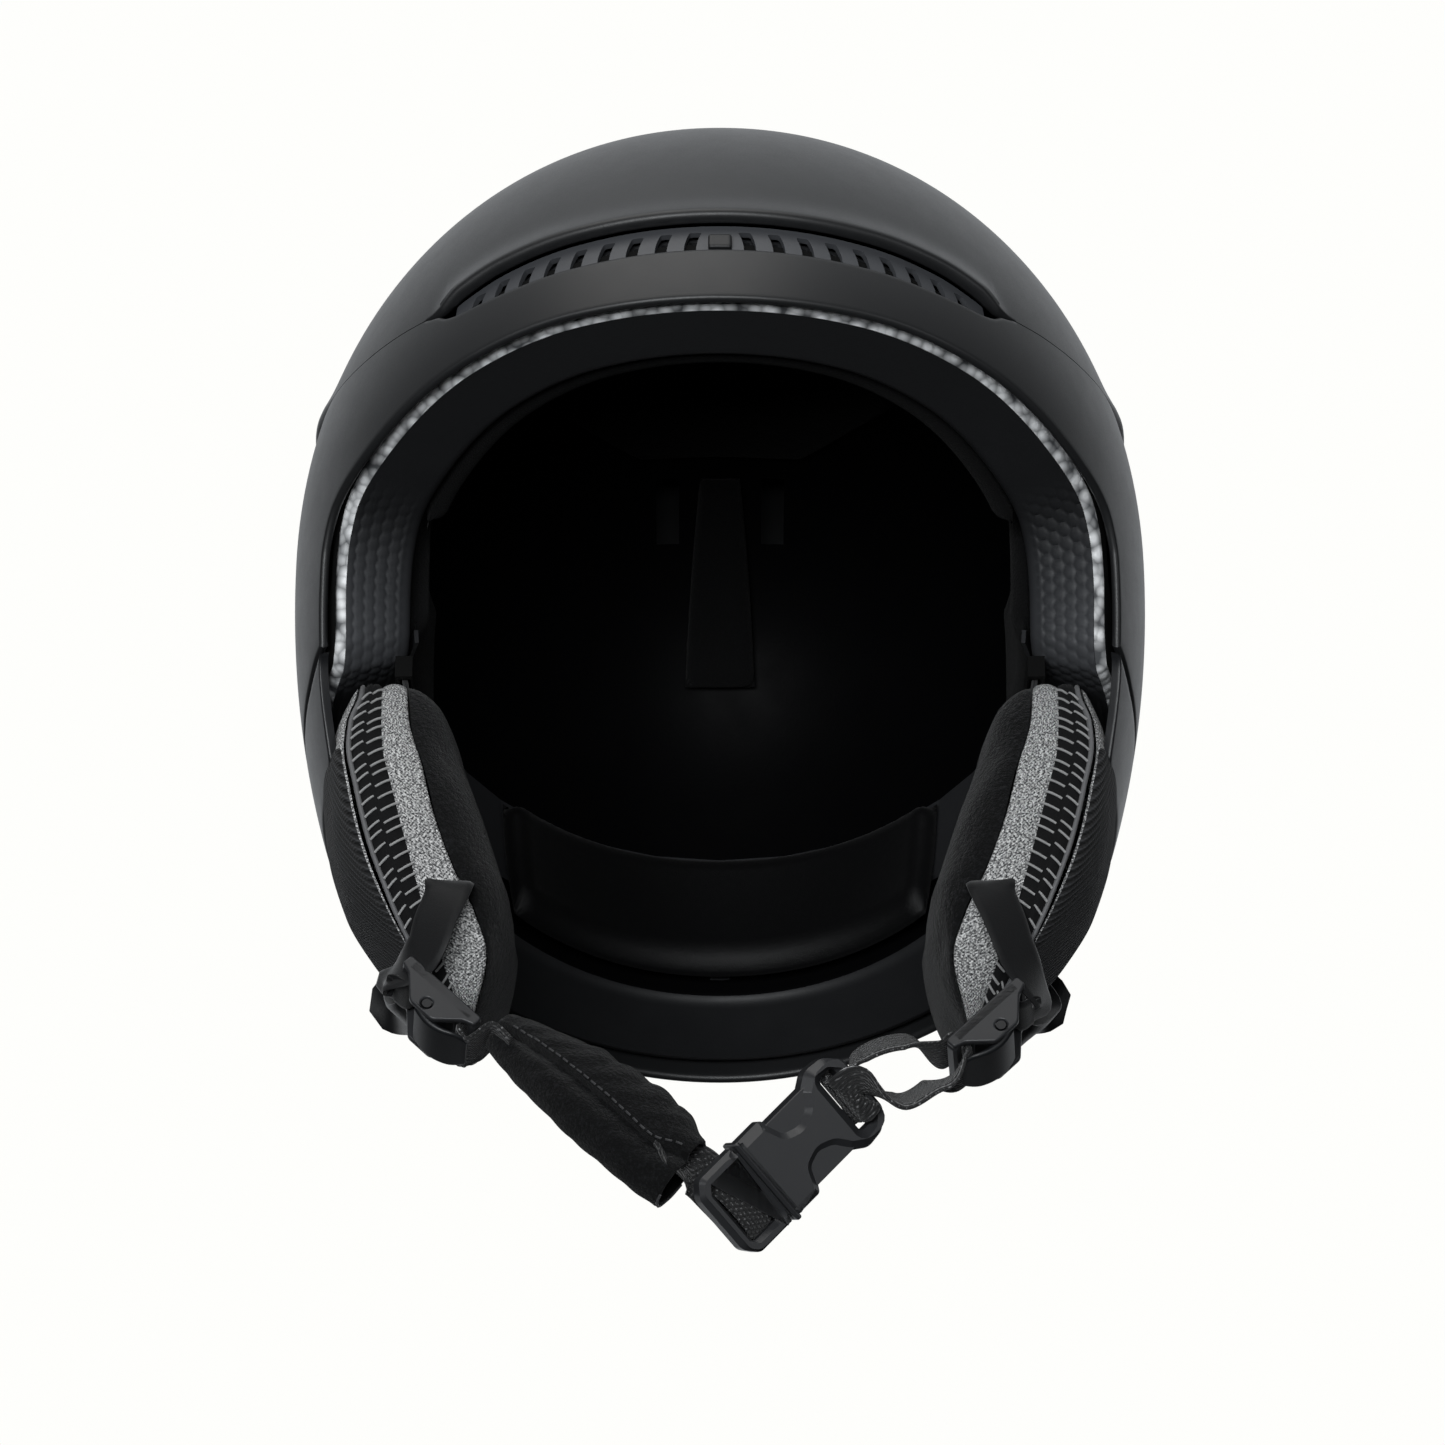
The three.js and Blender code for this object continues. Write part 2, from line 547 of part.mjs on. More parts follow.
// The two sides of the chin strap hang at slightly different heights.
const DIVIDERS = {
  left: { side: 1, centre: V(65.5, -32, -139.8) },
  right: { side: -1, centre: V(-68.6, -32, -134) },
};
const DIVIDER = { length: 25, width: 20, thickness: 3.4, slotAt: 8.3, slot: 3.4, pinHeight: 5.2 };

for (const one of Object.values(DIVIDERS)) {
  one.along = V(one.side * 0.72, 0, 0.69);
  one.place = placement(one.centre, one.along, V(one.side * 0.69, -0.12, -0.72));
  one.across = V(0, -one.side, 0).transformDirection(one.place); // the webbing's width, towards the back
  one.point = (u, v, n) => V(u, v, n).applyMatrix4(one.place);
}

// Webbing runs, each a list of [point, width direction], on the wearer's left; the right mirrors them.
function strapKeys(name) {
  const { side, point, across } = DIVIDERS[name];
  const wide = V(across.x * side, across.y, across.z);
  const end = (u, n, back = 0) => {
    const p = point(u, -side * back, n);
    return V(p.x * side, p.y, p.z);
  };
  return {
    front: [
      [V(80, -33, -44), V(0, 1, 0)], [V(76.5, -33, -72), V(0, 1, 0.1)],
      [V(68.5, -41.5, -98), V(0.45, 0.85, 0.25)], [V(71, -46, -113), V(0.55, 0.8, 0.3)],
      [end(17, 5), V(0.25, 0.95, 0.1)],
      [end(12, 3.7), wide], [end(8.9, 3), wide], [end(8.3, 0.4), wide],
    ],
    rear: [
      [V(84, 47, -44), V(0, 1, 0)], [V(88, 49, -76), V(0, 0.95, 0.2)], [V(89, 38, -100), V(0, 0.8, 0.5)],
      [V(87, 14, -115), V(0, 0.6, 0.8)], [end(6, 0.5, 22), V(0.5, 0.2, 0.8)],
      [end(4.5, 0, DIVIDER.width / 2 + 2), V(0.72, 0, 0.69)],
    ],
  };
}

const mirrored = (keys, side) => keys.map(([p, w]) => [V(p.x * side, p.y, p.z), V(w.x * side, w.y, w.z)]);

const ANCHOR = { width: 19, depth: 4.4, z0: -46.4, z1: -40.5 };

function buildStraps() {
  for (const [name, side] of SIDES) {
    const keys = strapKeys(name);
    for (const run of ["front", "rear"]) {
      add(`strap_${run}_${name}`, strap(strapStops(name, run)), "webbing");
      const x = keys[run][0][0].x * side;
      const y = keys[run][0][0].y;
      const deep = ANCHOR.depth / 2;
      const wide = ANCHOR.width / 2;
      const body = solidOf(box(x - deep, x + deep, y - wide, y + wide, ANCHOR.z0, ANCHOR.z1));
      add(`strap_anchor_${run}_${name}`, body.subtract(strapRoom(name, run)), "plastic");
    }
  }
}

function strapStops(name, run) {
  const keys = mirrored(strapKeys(name)[run], DIVIDERS[name].side);
  return stopsAlong(keys, run === "front" ? 18 : 12);
}

// The space a webbing run takes up, with clearance.
function strapRoom(name, run) {
  return solidOf(strap(strapStops(name, run), WEB_WIDTH + 2 * FIT, WEB_THICK + 4 * FIT));
}

// The space a divider and its lever take up against an ear pad.
function dividerRoom(name) {
  const { length, width, thickness } = DIVIDER;
  const long = length / 2 + 1;
  const wide = width / 2 + 1;
  return solidOf(box(-long, long, -wide, wide, -thickness, 12).applyMatrix4(DIVIDERS[name].place));
}

function buildDividers() {
  const { length, width, thickness, slotAt, slot, pinHeight } = DIVIDER;
  for (const [name, { place }] of Object.entries(DIVIDERS)) {
    const half = thickness / 2;
    const edge = width / 2;
    const ear = (v) => box(-4, 3.4, v - 0.9, v + 0.9, half - 0.5, pinHeight + 2.2);
    const window = (u) => solidOf(box(u - slot / 2, u + slot / 2, -8, 8, -half - 1, half + 1));
    const plain = box(-length / 2, length / 2, -edge, edge, -half, half);
    const frame = joined(plain, ear(edge - 0.9), ear(0.9 - edge))
      .subtract(window(slotAt))
      .subtract(window(-slotAt))
      .subtract(solidOf(crossBar(1.5, width + 2, pinHeight)));
    add(`strap_divider_${name}`, placed(frame, place), "plastic");
    const inner = edge - 2.1;
    const leaf = box(-12.5, 0, -inner, inner, pinHeight + 0.2, pinHeight + 2.2);
    const knuckle = crossBar(2.2, 2 * inner, pinHeight);
    const lever = joined(leaf, knuckle, crossBar(1.2, width - 0.2, pinHeight));
    add(`divider_lever_${name}`, placed(lever, place), "trim");
  }
}

// A round bar across a divider, at its pin.
const crossBar = (radius, width, height) =>
  new THREE.CylinderGeometry(radius, radius, width, 16).translate(0, 0, height);

function placed(solid, matrix) {
  return solidOf(geometryOf(solid).applyMatrix4(matrix));
}

// ---------------------------------------------------------------- chin strap

// The buckle's frame: x from the male half's base towards the female half's bar, z towards the front.
const BUCKLE_AXIS = V(0.68, 0, 0.733);
const buckleFrame = placement(V(9.5, -34, -180.8), BUCKLE_AXIS, V(0.365, -0.866, -0.34));
const onBuckle = (u, v, n) => V(u, v, n).applyMatrix4(buckleFrame);
const BUCKLE = { thick: 8, half: 11.7, cavity: 9.9, cavityThick: 4.6 };

const CHIN_DEPTH = 6.4; // half the chin pad's thickness

function chinPadKeys() {
  const start = V(-53.5, -32, -140.4);
  const end = V(-9, -36.5, -178);
  const along = end.clone().sub(start);
  return between(0, 1, 8).map((t) => {
    const centre = start.clone().addScaledVector(along, t);
    centre.y -= 3 * Math.sin(Math.PI * t); // the pad bows forward round the chin
    const tall = 7.4 + 2.4 * Math.sin(Math.PI * (0.18 + t * 0.7));
    const closing = Math.sin(Math.PI * (0.12 + 0.76 * t)) ** 0.35;
    return { centre, tall: tall * closing, deep: CHIN_DEPTH * closing };
  });
}

function buildChinPad() {
  const up = V(0.61, 0, 0.79);
  const forward = V(0, -1, 0);
  const rings = chinPadKeys().map(({ centre, tall, deep }) =>
    between(0, 1, 12).slice(0, 12).map((t) => {
      const c = Math.cos(t * 2 * Math.PI);
      const s = Math.sin(t * 2 * Math.PI);
      return centre.clone().addScaledVector(up, tall * c).addScaledVector(forward, deep * s);
    }));
  add("chin_pad", loft(rings), "fleece");
}

const chinWebRight = () => {
  const { point, across } = DIVIDERS.right;
  return [[point(-8.3, 0, 0.4), across], [point(-8.9, 0, 3), across], [point(-12.4, 0, 3.5), across],
    [V(-57.6, -32, -144), across]];
};

function buildBuckle() {
  const { thick, half, cavity, cavityThick } = BUCKLE;
  const base = solidOf(slab([
    [-14.5, -8], [-11.5, -half], [-0.3, -half], [-0.3, half], [-11.5, half], [-14.5, 8]], thick));
  const window = slab([[-11, -8.4], [-3.2, -8.4], [-3.2, 8.4], [-11, 8.4]], thick + 2);
  const prong = slab([[-1, -1.6], [15, -1.2], [15, 1.2], [-1, 1.6]], cavityThick - 1);
  add("buckle_male", placed(base.subtract(solidOf(window)).add(solidOf(prong)), buckleFrame), "plastic");

  for (const [name, side] of [["upper", 1], ["lower", -1]]) {
    const barb = [[14, cavity - FIT], [20, cavity - 1.2], [23, 6.2]];
    const outline = [[0, 4.6], [0, 7.6], [11, 7.9], ...barb, [19, 4.4]];
    const arm = slab(outline.map(([u, v]) => [u, v * side]), cavityThick - 1);
    add(`buckle_arm_${name}`, solidOf(arm.applyMatrix4(buckleFrame)), "plastic");
  }

  // One side of the female half, with the waist where a latch arm is pressed.
  const waist = [[11.4, half], [12.2, 9.6], [15, 7.4], [19, 7.4], [23, 9.4]];
  const side = [[0, half], ...waist, [27, 11], [32, 10.4], [36, 8]];
  const female = solidOf(slab([...side, ...side.map(([u, v]) => [u, -v]).reverse()], thick));
  const room = solidOf(slab([[-1, -cavity], [24, -cavity], [24, cavity], [-1, cavity]], cavityThick));
  const bar = slab([[28, -8.3], [32.4, -8.3], [32.4, 8.3], [28, 8.3]], thick + 2);
  add("buckle_female", placed(female.subtract(room).subtract(solidOf(bar)), buckleFrame), "plastic");
}

function buildChinWebbing() {
  add("chin_webbing_right", strap(stopsAlong(chinWebRight(), 4)), "webbing");
  const across = V(0, -1, 0).transformDirection(buckleFrame);
  // The right webbing comes in from the side and passes behind the male half's bar.
  const toBuckle = [[-9.3, 12.6], [-8, 5], [-7.5, -7]].map(([u, v]) => [onBuckle(u, v, -5.2), BUCKLE_AXIS]);
  add("chin_webbing_middle", strap(stopsAlong(toBuckle, 4)), "webbing");
  const { point, across: wide } = DIVIDERS.left;
  const overBar = (n) => [[onBuckle(30.2, 0, n * 1.2), across], [onBuckle(30.2, 0, n * 3.8), across],
    [onBuckle(32, 0, n * 6.5), across], [onBuckle(37, 0, n * 6.8), across]];
  const overEnd = (n) => [[point(-12, 0, n * 3.6), wide], [point(-8.9, 0, n * 3), wide],
    [point(-8.3, 0, n * 1.2), wide]];
  const upper = [...overBar(-1), [V(44, -33, -145), V(0.2, 0.9, 0.3)], ...overEnd(-1)];
  const slack = [[V(48, -38, -159), across], [V(55, -32, -156), V(0.2, 0.9, 0)]];
  const lower = [...overBar(1), ...slack, ...overEnd(1)];
  add("adjuster_webbing_upper", strap(stopsAlong(upper, 14)), "webbing");
  add("adjuster_webbing_lower", strap(stopsAlong(lower, 16)), "webbing");
}

// ---------------------------------------------------------------- ear pads

// Sizes of an ear pad down its height, each over z from the top of the pad to its tip.
const EAR_TOP = -51;
const EAR_TIP = -137;
const earOuterX = through([
  [43, 96], [57, 98.5], [70, 100], [81, 98.2], [98, 92], [115, 83.5], [128, 75.5], [138, 66],
]);
const earWallX = through([
  [43, 79], [51, 78.5], [60, 77.6], [72.5, 74.1], [86, 70.8], [100, 65.6], [111, 60.5], [120, 57.5], [138, 62],
]);
const earInnerX = through([
  [43, 71], [53, 67.4], [67, 64.6], [81, 59.8], [95, 54.4], [102, 52.2], [110, 52], [118, 53.5], [126, 56],
  [138, 61.5],
]);
const earFrontY = through([[43, -40], [60, -44], [82, -45], [105, -41], [120, -34], [132, -22], [138, -10]]);
const earRearY = through([[43, 38], [60, 39], [82, 36], [105, 27], [120, 17], [132, 5], [138, -8]]);

const earLevels = between(EAR_TOP, EAR_TIP, 8);

// One level of an ear pad: a rounded outline from x0 to x1 that bulges to its full depth in the middle.
function earRing(z, x0, x1, squeeze, side) {
  const front = earFrontY(z) + squeeze;
  const rear = earRearY(z) - squeeze;
  const middle = (front + rear) / 2;
  const half = Math.max((rear - front) / 2, 1.5);
  const ring = [];
  for (let k = 0; k < 14; k++) {
    const t = (k / 14) * 2 * Math.PI;
    const c = Math.cos(t);
    const s = Math.sin(t);
    const y = middle + half * Math.sign(s) * Math.abs(s) ** 0.75;
    const x = c > 0 ? (x1 - x0) * c ** 0.8 : 0;
    ring.push(new THREE.Vector3(side * (x0 + x), y, z));
  }
  return side > 0 ? ring.reverse() : ring;
}

function earLoft(xFrom, xTo, squeeze, side) {
  return loft(earLevels.map((z) => earRing(z, xFrom(z), xTo(z), squeeze, side)));
}

const PANEL = { top: -64, bottom: -128, thick: 1.2, margin: 6 }; // the ribbed skin over the outside of a pad
const earShell = (z) => Math.max(earOuterX(z) - 2, earWallX(z) + 4);

function earPanel(side) {
  const rows = between(PANEL.top, PANEL.bottom, 6);
  const { thick, margin } = PANEL;
  const over = rows.map((z) =>
    earRing(z, earWallX(z) + 8 + thick, earShell(z) + 0.4 + thick, margin + thick, side));
  const under = earLoft(earWallX, (z) => earShell(z) + 0.35, 0, side);
  return solidOf(loft(over)).subtract(solidOf(under));
}

function buildEarPads() {
  for (const [name, side] of SIDES) {
    const rooms = [strapRoom(name, "front"), strapRoom(name, "rear"), dividerRoom(name)];
    const clear = (solid) => rooms.reduce((rest, room) => rest.subtract(room), solid);
    add(`ear_pad_${name}`, clear(solidOf(earLoft(earWallX, earShell, 0, side))), "melange");
    add(`ear_panel_${name}`, clear(earPanel(side)), "mesh");
    const plush = loft(earLevels.map((z) => earRing(z, -(earWallX(z) - FIT), -earInnerX(z), 1.5, -side)));
    add(`ear_plush_${name}`, clear(solidOf(plush)), "fleece");
    const x = side * EAR_FRAME_X;
    const tabs = EAR_TABS.map((y) => box(x - 2, x + 2, y - 5, y + 5, -50.7, -44));
    add(`ear_frame_${name}`, joined(box(x - 2.5, x + 2.5, -28, 28, -50.7, -48.4), ...tabs), "plastic");
  }
}

buildShell();
buildSideTrims();
buildFoam();
buildFrontVent();
buildPads();
buildCradle();
buildDial();
buildGoggleClip();
buildEarPads();
buildStraps();
buildDividers();
buildChinPad();
buildBuckle();
buildChinWebbing();

export default helmet;
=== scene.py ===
"""Ski helmet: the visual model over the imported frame.

Lengths are millimetres in the code and become metres when a mesh is made. +Z is up, the wearer looks along
-Y, and the wearer's left is +X. A place on the egg-shaped helmet is an azimuth, 0 at the forehead and growing
towards +X, and an elevation, 90 at the crown, both in degrees.
"""
import json
import math
import bmesh
import bpy
import numpy as np
from mathutils import Matrix, Vector


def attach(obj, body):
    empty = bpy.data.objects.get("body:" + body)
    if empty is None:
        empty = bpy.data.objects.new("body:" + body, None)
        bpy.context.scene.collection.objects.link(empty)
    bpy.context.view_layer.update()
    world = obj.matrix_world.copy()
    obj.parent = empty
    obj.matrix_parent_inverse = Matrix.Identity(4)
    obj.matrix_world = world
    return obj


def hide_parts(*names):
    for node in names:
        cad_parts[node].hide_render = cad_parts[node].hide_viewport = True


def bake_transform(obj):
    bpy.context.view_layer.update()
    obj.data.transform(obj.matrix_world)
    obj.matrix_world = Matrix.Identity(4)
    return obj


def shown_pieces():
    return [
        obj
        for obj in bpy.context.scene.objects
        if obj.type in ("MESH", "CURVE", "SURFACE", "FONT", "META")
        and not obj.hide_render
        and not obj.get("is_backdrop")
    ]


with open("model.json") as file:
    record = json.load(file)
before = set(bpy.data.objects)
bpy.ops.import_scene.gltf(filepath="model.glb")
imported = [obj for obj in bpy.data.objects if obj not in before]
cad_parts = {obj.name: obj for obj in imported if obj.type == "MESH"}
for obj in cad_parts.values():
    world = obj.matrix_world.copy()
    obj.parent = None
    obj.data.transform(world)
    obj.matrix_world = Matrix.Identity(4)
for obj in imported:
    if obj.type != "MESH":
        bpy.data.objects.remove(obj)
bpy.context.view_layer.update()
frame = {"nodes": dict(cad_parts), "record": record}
MM = 0.001

# ---------------------------------------------------------------- camera, light and floor

camera_data = bpy.data.cameras.new("camera")
camera = bpy.data.objects.new("camera", camera_data)
bpy.context.scene.collection.objects.link(camera)
bpy.context.scene.camera = camera
camera_data.sensor_width = 36.0
camera_data.lens = 114.2
camera_data.shift_x = 0.00173
camera_data.clip_start = 0.01
camera.location = (0.0, -1.05954, -0.60036)
camera.rotation_euler = (math.radians(90 + 28), 0, 0)

view = bpy.context.scene.view_settings
view.view_transform = "Standard"
view.look = "None"
view.exposure = 0.0
view.gamma = 1.0


def add_light(name, location, aim, size, power, color=(1, 1, 1), size_y=None):
    data = bpy.data.lights.new(name, "AREA")
    data.shape = "RECTANGLE"
    data.size = size
    data.size_y = size_y or size
    data.energy = power
    data.color = color
    light = bpy.data.objects.new(name, data)
    bpy.context.scene.collection.objects.link(light)
    light.location = location
    toward = Vector(aim) - Vector(location)
    light.rotation_euler = toward.to_track_quat("-Z", "Y").to_euler()
    return light


add_light("key_top", (-0.30, -1.05, 1.25), (0, -0.02, 0.03), 1.3, 7, (1.0, 0.98, 0.95), 1.0)
add_light("front_low", (-0.25, -1.5, -0.45), (0, 0, -0.10), 0.9, 15.0, (0.95, 0.98, 1.0), 0.6)
add_light("side_left", (-1.1, -1.1, -0.25), (0.02, -0.03, -0.08), 0.5, 1.3, (0.96, 0.98, 1.0), 0.5)
add_light("side_right", (1.1, -1.1, -0.25), (-0.02, -0.03, -0.08), 0.5, 1.3, (0.96, 0.98, 1.0), 0.5)


def make_world():
    world = bpy.data.worlds.new("studio")
    bpy.context.scene.world = world
    world.use_nodes = True
    tree = world.node_tree
    tree.nodes.clear()
    out = tree.nodes.new("ShaderNodeOutputWorld")
    mix = tree.nodes.new("ShaderNodeMixShader")
    path = tree.nodes.new("ShaderNodeLightPath")
    seen = tree.nodes.new("ShaderNodeBackground")
    lit = tree.nodes.new("ShaderNodeBackground")
    seen.inputs["Color"].default_value = (0.991, 0.991, 0.972, 1)
    seen.inputs["Strength"].default_value = 1.0
    lit.inputs["Color"].default_value = (0.93, 0.965, 1.0, 1)
    # The room is light overhead and behind the helmet, and dark below, beside it and on the camera's side.
    coord = tree.nodes.new("ShaderNodeTexCoord")
    split = tree.nodes.new("ShaderNodeSeparateXYZ")
    tree.links.new(coord.outputs["Generated"], split.inputs[0])

    def arithmetic(operation, first, second):
        node = tree.nodes.new("ShaderNodeMath")
        node.operation = operation
        for socket, value in zip(node.inputs, (first, second)):
            if isinstance(value, bpy.types.NodeSocket):
                tree.links.new(value, socket)
            else:
                socket.default_value = value
        return node.outputs[0]

    aside = arithmetic("ABSOLUTE", split.outputs[0], 0)
    high = arithmetic("ADD", split.outputs[2], arithmetic("MULTIPLY", split.outputs[1], 0.6))
    level = arithmetic("SUBTRACT", high, arithmetic("MULTIPLY", aside, 0.9))
    fade = tree.nodes.new("ShaderNodeMapRange")
    fade.interpolation_type = "SMOOTHSTEP"
    for key, value in (("From Min", -0.30), ("From Max", 0.60), ("To Min", 0.010), ("To Max", 0.80)):
        fade.inputs[key].default_value = value
    tree.links.new(level, fade.inputs["Value"])
    tree.links.new(fade.outputs["Result"], lit.inputs["Strength"])
    tree.links.new(path.outputs["Is Camera Ray"], mix.inputs["Fac"])
    tree.links.new(lit.outputs[0], mix.inputs[1])
    tree.links.new(seen.outputs[0], mix.inputs[2])
    tree.links.new(mix.outputs[0], out.inputs["Surface"])


make_world()

# ---------------------------------------------------------------- node materials

FINISH = {}


class Shader:
    """A Principled material under construction, with short calls for the nodes it needs."""

    def __init__(self, name, color, roughness, **sockets):
        self.material = bpy.data.materials.new(name)
        self.material.use_nodes = True
        self.tree = self.material.node_tree
        self.tree.nodes.clear()
        out = self.tree.nodes.new("ShaderNodeOutputMaterial")
        self.bsdf = self.tree.nodes.new("ShaderNodeBsdfPrincipled")
        self.tree.links.new(self.bsdf.outputs[0], out.inputs[0])
        self.bsdf.inputs["Base Color"].default_value = (*color, 1)
        self.bsdf.inputs["Roughness"].default_value = roughness
        for key, value in sockets.items():
            self.bsdf.inputs[key.replace("_", " ")].default_value = value
        self.color = color
        coord = self.tree.nodes.new("ShaderNodeTexCoord")
        self.object = coord.outputs["Object"]
        self.uv = coord.outputs["UV"]

    def put(self, kind, inputs, **settings):
        node = self.tree.nodes.new("ShaderNode" + kind)
        for key, value in settings.items():
            setattr(node, key, value)
        for key, value in inputs.items():
            socket = node.inputs[key]
            if isinstance(value, bpy.types.NodeSocket):
                self.tree.links.new(value, socket)
            else:
                socket.default_value = value
        return node

    def noise(self, scale, detail=3.0, rough=0.5, vector=None):
        keys = {"Vector": vector or self.object, "Scale": scale, "Detail": detail, "Roughness": rough}
        return self.put("TexNoise", keys).outputs[0]

    def math(self, operation, a, b=0.0, clamp=False):
        return self.put("Math", {0: a, 1: b}, operation=operation, use_clamp=clamp).outputs[0]

    def map_range(self, value, low, high, to_low, to_high):
        keys = {"Value": value, "From Min": low, "From Max": high, "To Min": to_low, "To Max": to_high}
        return self.put("MapRange", keys).outputs[0]

    def mix(self, factor, a, b):
        node = self.tree.nodes.new("ShaderNodeMix")
        node.data_type = "RGBA"
        for index, value in ((0, factor), (6, a), (7, b)):
            socket = node.inputs[index]
            if isinstance(value, bpy.types.NodeSocket):
                self.tree.links.new(value, socket)
            else:
                socket.default_value = value if index == 0 else (*value, 1)
        return node.outputs[2]

    def base(self, socket):
        self.tree.links.new(socket, self.bsdf.inputs["Base Color"])

    def rough(self, socket):
        self.tree.links.new(socket, self.bsdf.inputs["Roughness"])

    def bump(self, height, distance, strength=1.0, under=None):
        inputs = {"Height": height, "Distance": distance, "Strength": strength}
        if under is not None:
            inputs["Normal"] = under
        return self.put("Bump", inputs).outputs[0]

    def normal(self, socket):
        self.tree.links.new(socket, self.bsdf.inputs["Normal"])


def moulded(name, color, roughness, grain=2600, depth=0.000012, spread=0.02, **sockets):
    """Moulded plastic: a fine eggshell grain, faint flow variation and a little handling wear."""
    s = Shader(name, color, roughness, **sockets)
    fine = s.noise(grain, 2.0)
    broad = s.noise(24, 4.0)
    scuff = s.noise(160, 6.0, 0.7)
    tone = s.map_range(broad, 0.3, 0.7, 0.97, 1.03)
    s.base(s.put("VectorMath", {0: (*color,), "Scale": tone}, operation="SCALE").outputs[0])
    wear = s.map_range(scuff, 0.35, 0.75, -spread, spread)
    s.rough(s.math("ADD", s.math("ADD", wear, roughness), s.map_range(fine, 0.3, 0.7, -0.03, 0.03)))
    s.normal(s.bump(fine, depth, 1.0))
    return s.material


def woven(name, color, fleck, pitch_u, pitch_v, depth, amount=0.5, roughness=0.75):
    """Flat-woven webbing: ribs across and along the strap's own millimetre coordinates, with lighter flecks."""
    s = Shader(name, color, roughness, Sheen_Weight=0.25, Sheen_Roughness=0.5)
    split = s.put("SeparateXYZ", {0: s.uv})
    along, across = split.outputs[0], split.outputs[1]
    row = s.math("FLOOR", s.math("DIVIDE", across, pitch_v))
    shift = s.math("MULTIPLY", s.math("MODULO", row, 2.0), 0.5)
    u = s.math("MULTIPLY", s.math("ADD", s.math("DIVIDE", along, pitch_u), shift), 2 * math.pi)
    v = s.math("MULTIPLY", s.math("DIVIDE", across, pitch_v), 2 * math.pi)
    cell = s.math("MULTIPLY", s.math("SINE", u), 0.5)
    rib = s.math("MULTIPLY", s.math("COSINE", v), -0.5)
    height = s.math("ADD", cell, rib)
    fine = s.noise(2.6, 2.0, vector=s.uv)
    mask = s.math("MULTIPLY", s.map_range(fine, 0.50, 0.72, 0.0, 1.0), s.map_range(height, 0.0, 0.8, 0.0, 1.0))
    s.base(s.mix(s.math("MULTIPLY", mask, amount, True), color, fleck))
    s.rough(s.map_range(s.noise(300), 0.3, 0.7, roughness - 0.1, roughness + 0.1))
    s.normal(s.bump(height, depth, 1.0))
    return s.material


def brushed_cloth(name, color, tip, scale, depth, amount, sheen=0.1, roughness=0.95):
    """Fleece and plush: short fibres standing up, lighter at their tips."""
    s = Shader(name, color, roughness, Sheen_Weight=sheen, Sheen_Roughness=0.5, Specular_IOR_Level=0.25)
    fine = s.noise(scale, 4.0, 0.7)
    clump = s.noise(scale / 5, 3.0, 0.6)
    fibre = s.math("ADD", s.math("MULTIPLY", fine, 0.6), s.math("MULTIPLY", clump, 0.4))
    s.base(s.mix(s.map_range(fine, 0.5, 0.75, 0.0, amount), color, tip))
    s.normal(s.bump(fibre, depth, 1.0))
    return s.material


def melange(name):
    """Grey melange knit: dark and light yarn mixed in short streaks, over a small square weave."""
    s = Shader(name, (0.05, 0.05, 0.052), 0.9, Sheen_Weight=0.2, Sheen_Roughness=0.5)
    split = s.put("SeparateXYZ", {0: s.uv})
    u = s.math("MULTIPLY", split.outputs[0], 2 * math.pi / 0.9)
    v = s.math("MULTIPLY", split.outputs[1], 2 * math.pi / 0.9)
    weave = s.math("MULTIPLY", s.math("SINE", u), s.math("SINE", v))
    yarn = s.noise(1.7, 3.0, 0.7, s.uv)
    streak = s.put("Mapping", {"Vector": s.uv, "Scale": (0.5, 2.4, 1.0)}).outputs[0]
    line = s.noise(1.0, 3.0, 0.6, streak)
    light = s.math("MULTIPLY", s.map_range(yarn, 0.43, 0.55, 0.0, 1.0), s.map_range(line, 0.42, 0.56, 0.45, 1.0))
    tone = s.math("ADD", light, s.math("MULTIPLY", weave, 0.22), True)
    s.base(s.mix(tone, (0.05, 0.05, 0.053), (1.0, 1.0, 0.995)))
    s.normal(s.bump(s.math("ADD", weave, yarn), 0.00018, 1.0))
    return s.material


def ribbed(name):
    """Black corded knit: narrow wales along one direction of the cloth."""
    s = Shader(name, (0.010, 0.010, 0.011), 0.8, Sheen_Weight=0.08, Sheen_Roughness=0.45)
    split = s.put("SeparateXYZ", {0: s.uv})
    wale = s.math("SINE", s.math("MULTIPLY", split.outputs[0], 2 * math.pi / 1.5))
    loops = s.math("SINE", s.math("MULTIPLY", split.outputs[1], 2 * math.pi / 0.8))
    height = s.math("ADD", wale, s.math("MULTIPLY", loops, 0.25))
    # Painted highlight and shade: the colour follows the wale height, lighter on the wale tops and near black in the
    # furrows.
    s.base(s.mix(s.map_range(height, 0.0, 1.2, 0.0, 0.8), (0.003, 0.003, 0.0035), (0.055, 0.056, 0.060)))
    s.normal(s.bump(height, 0.00035, 1.0))
    return s.material


def bead_foam(name, color, cell_highlight_tone):
    """Moulded bead foam: a satin skin, with a painted highlight where the cells stand proud in front of the temples:
    the base colour turns to a lighter tone low at the front.
    """
    s = Shader(name, color, 0.5, Specular_IOR_Level=0.4 if color != cell_highlight_tone else 0.04)
    split = s.put("SeparateXYZ", {0: s.object})
    # Painted highlight on the cell relief: this mask mixes the base colour towards the lighter tone low at the front.
    low = s.map_range(split.outputs[2], -0.010, -0.040, 0.0, 1.0)
    front = s.map_range(split.outputs[1], -0.030, -0.055, 0.0, 1.0)
    cells = s.put("TexVoronoi", {"Vector": s.object, "Scale": 420.0}, feature="DISTANCE_TO_EDGE").outputs[0]
    edge = s.map_range(cells, 0.0, 0.12, 0.0, 1.0)
    s.base(s.mix(s.math("MULTIPLY", low, front), color, cell_highlight_tone))
    s.rough(s.map_range(s.noise(90, 4.0), 0.3, 0.7, 0.46, 0.56))
    s.normal(s.bump(s.noise(1800, 3.0), 0.00002, 1.0, s.bump(edge, 0.00002, 0.4)))
    return s.material


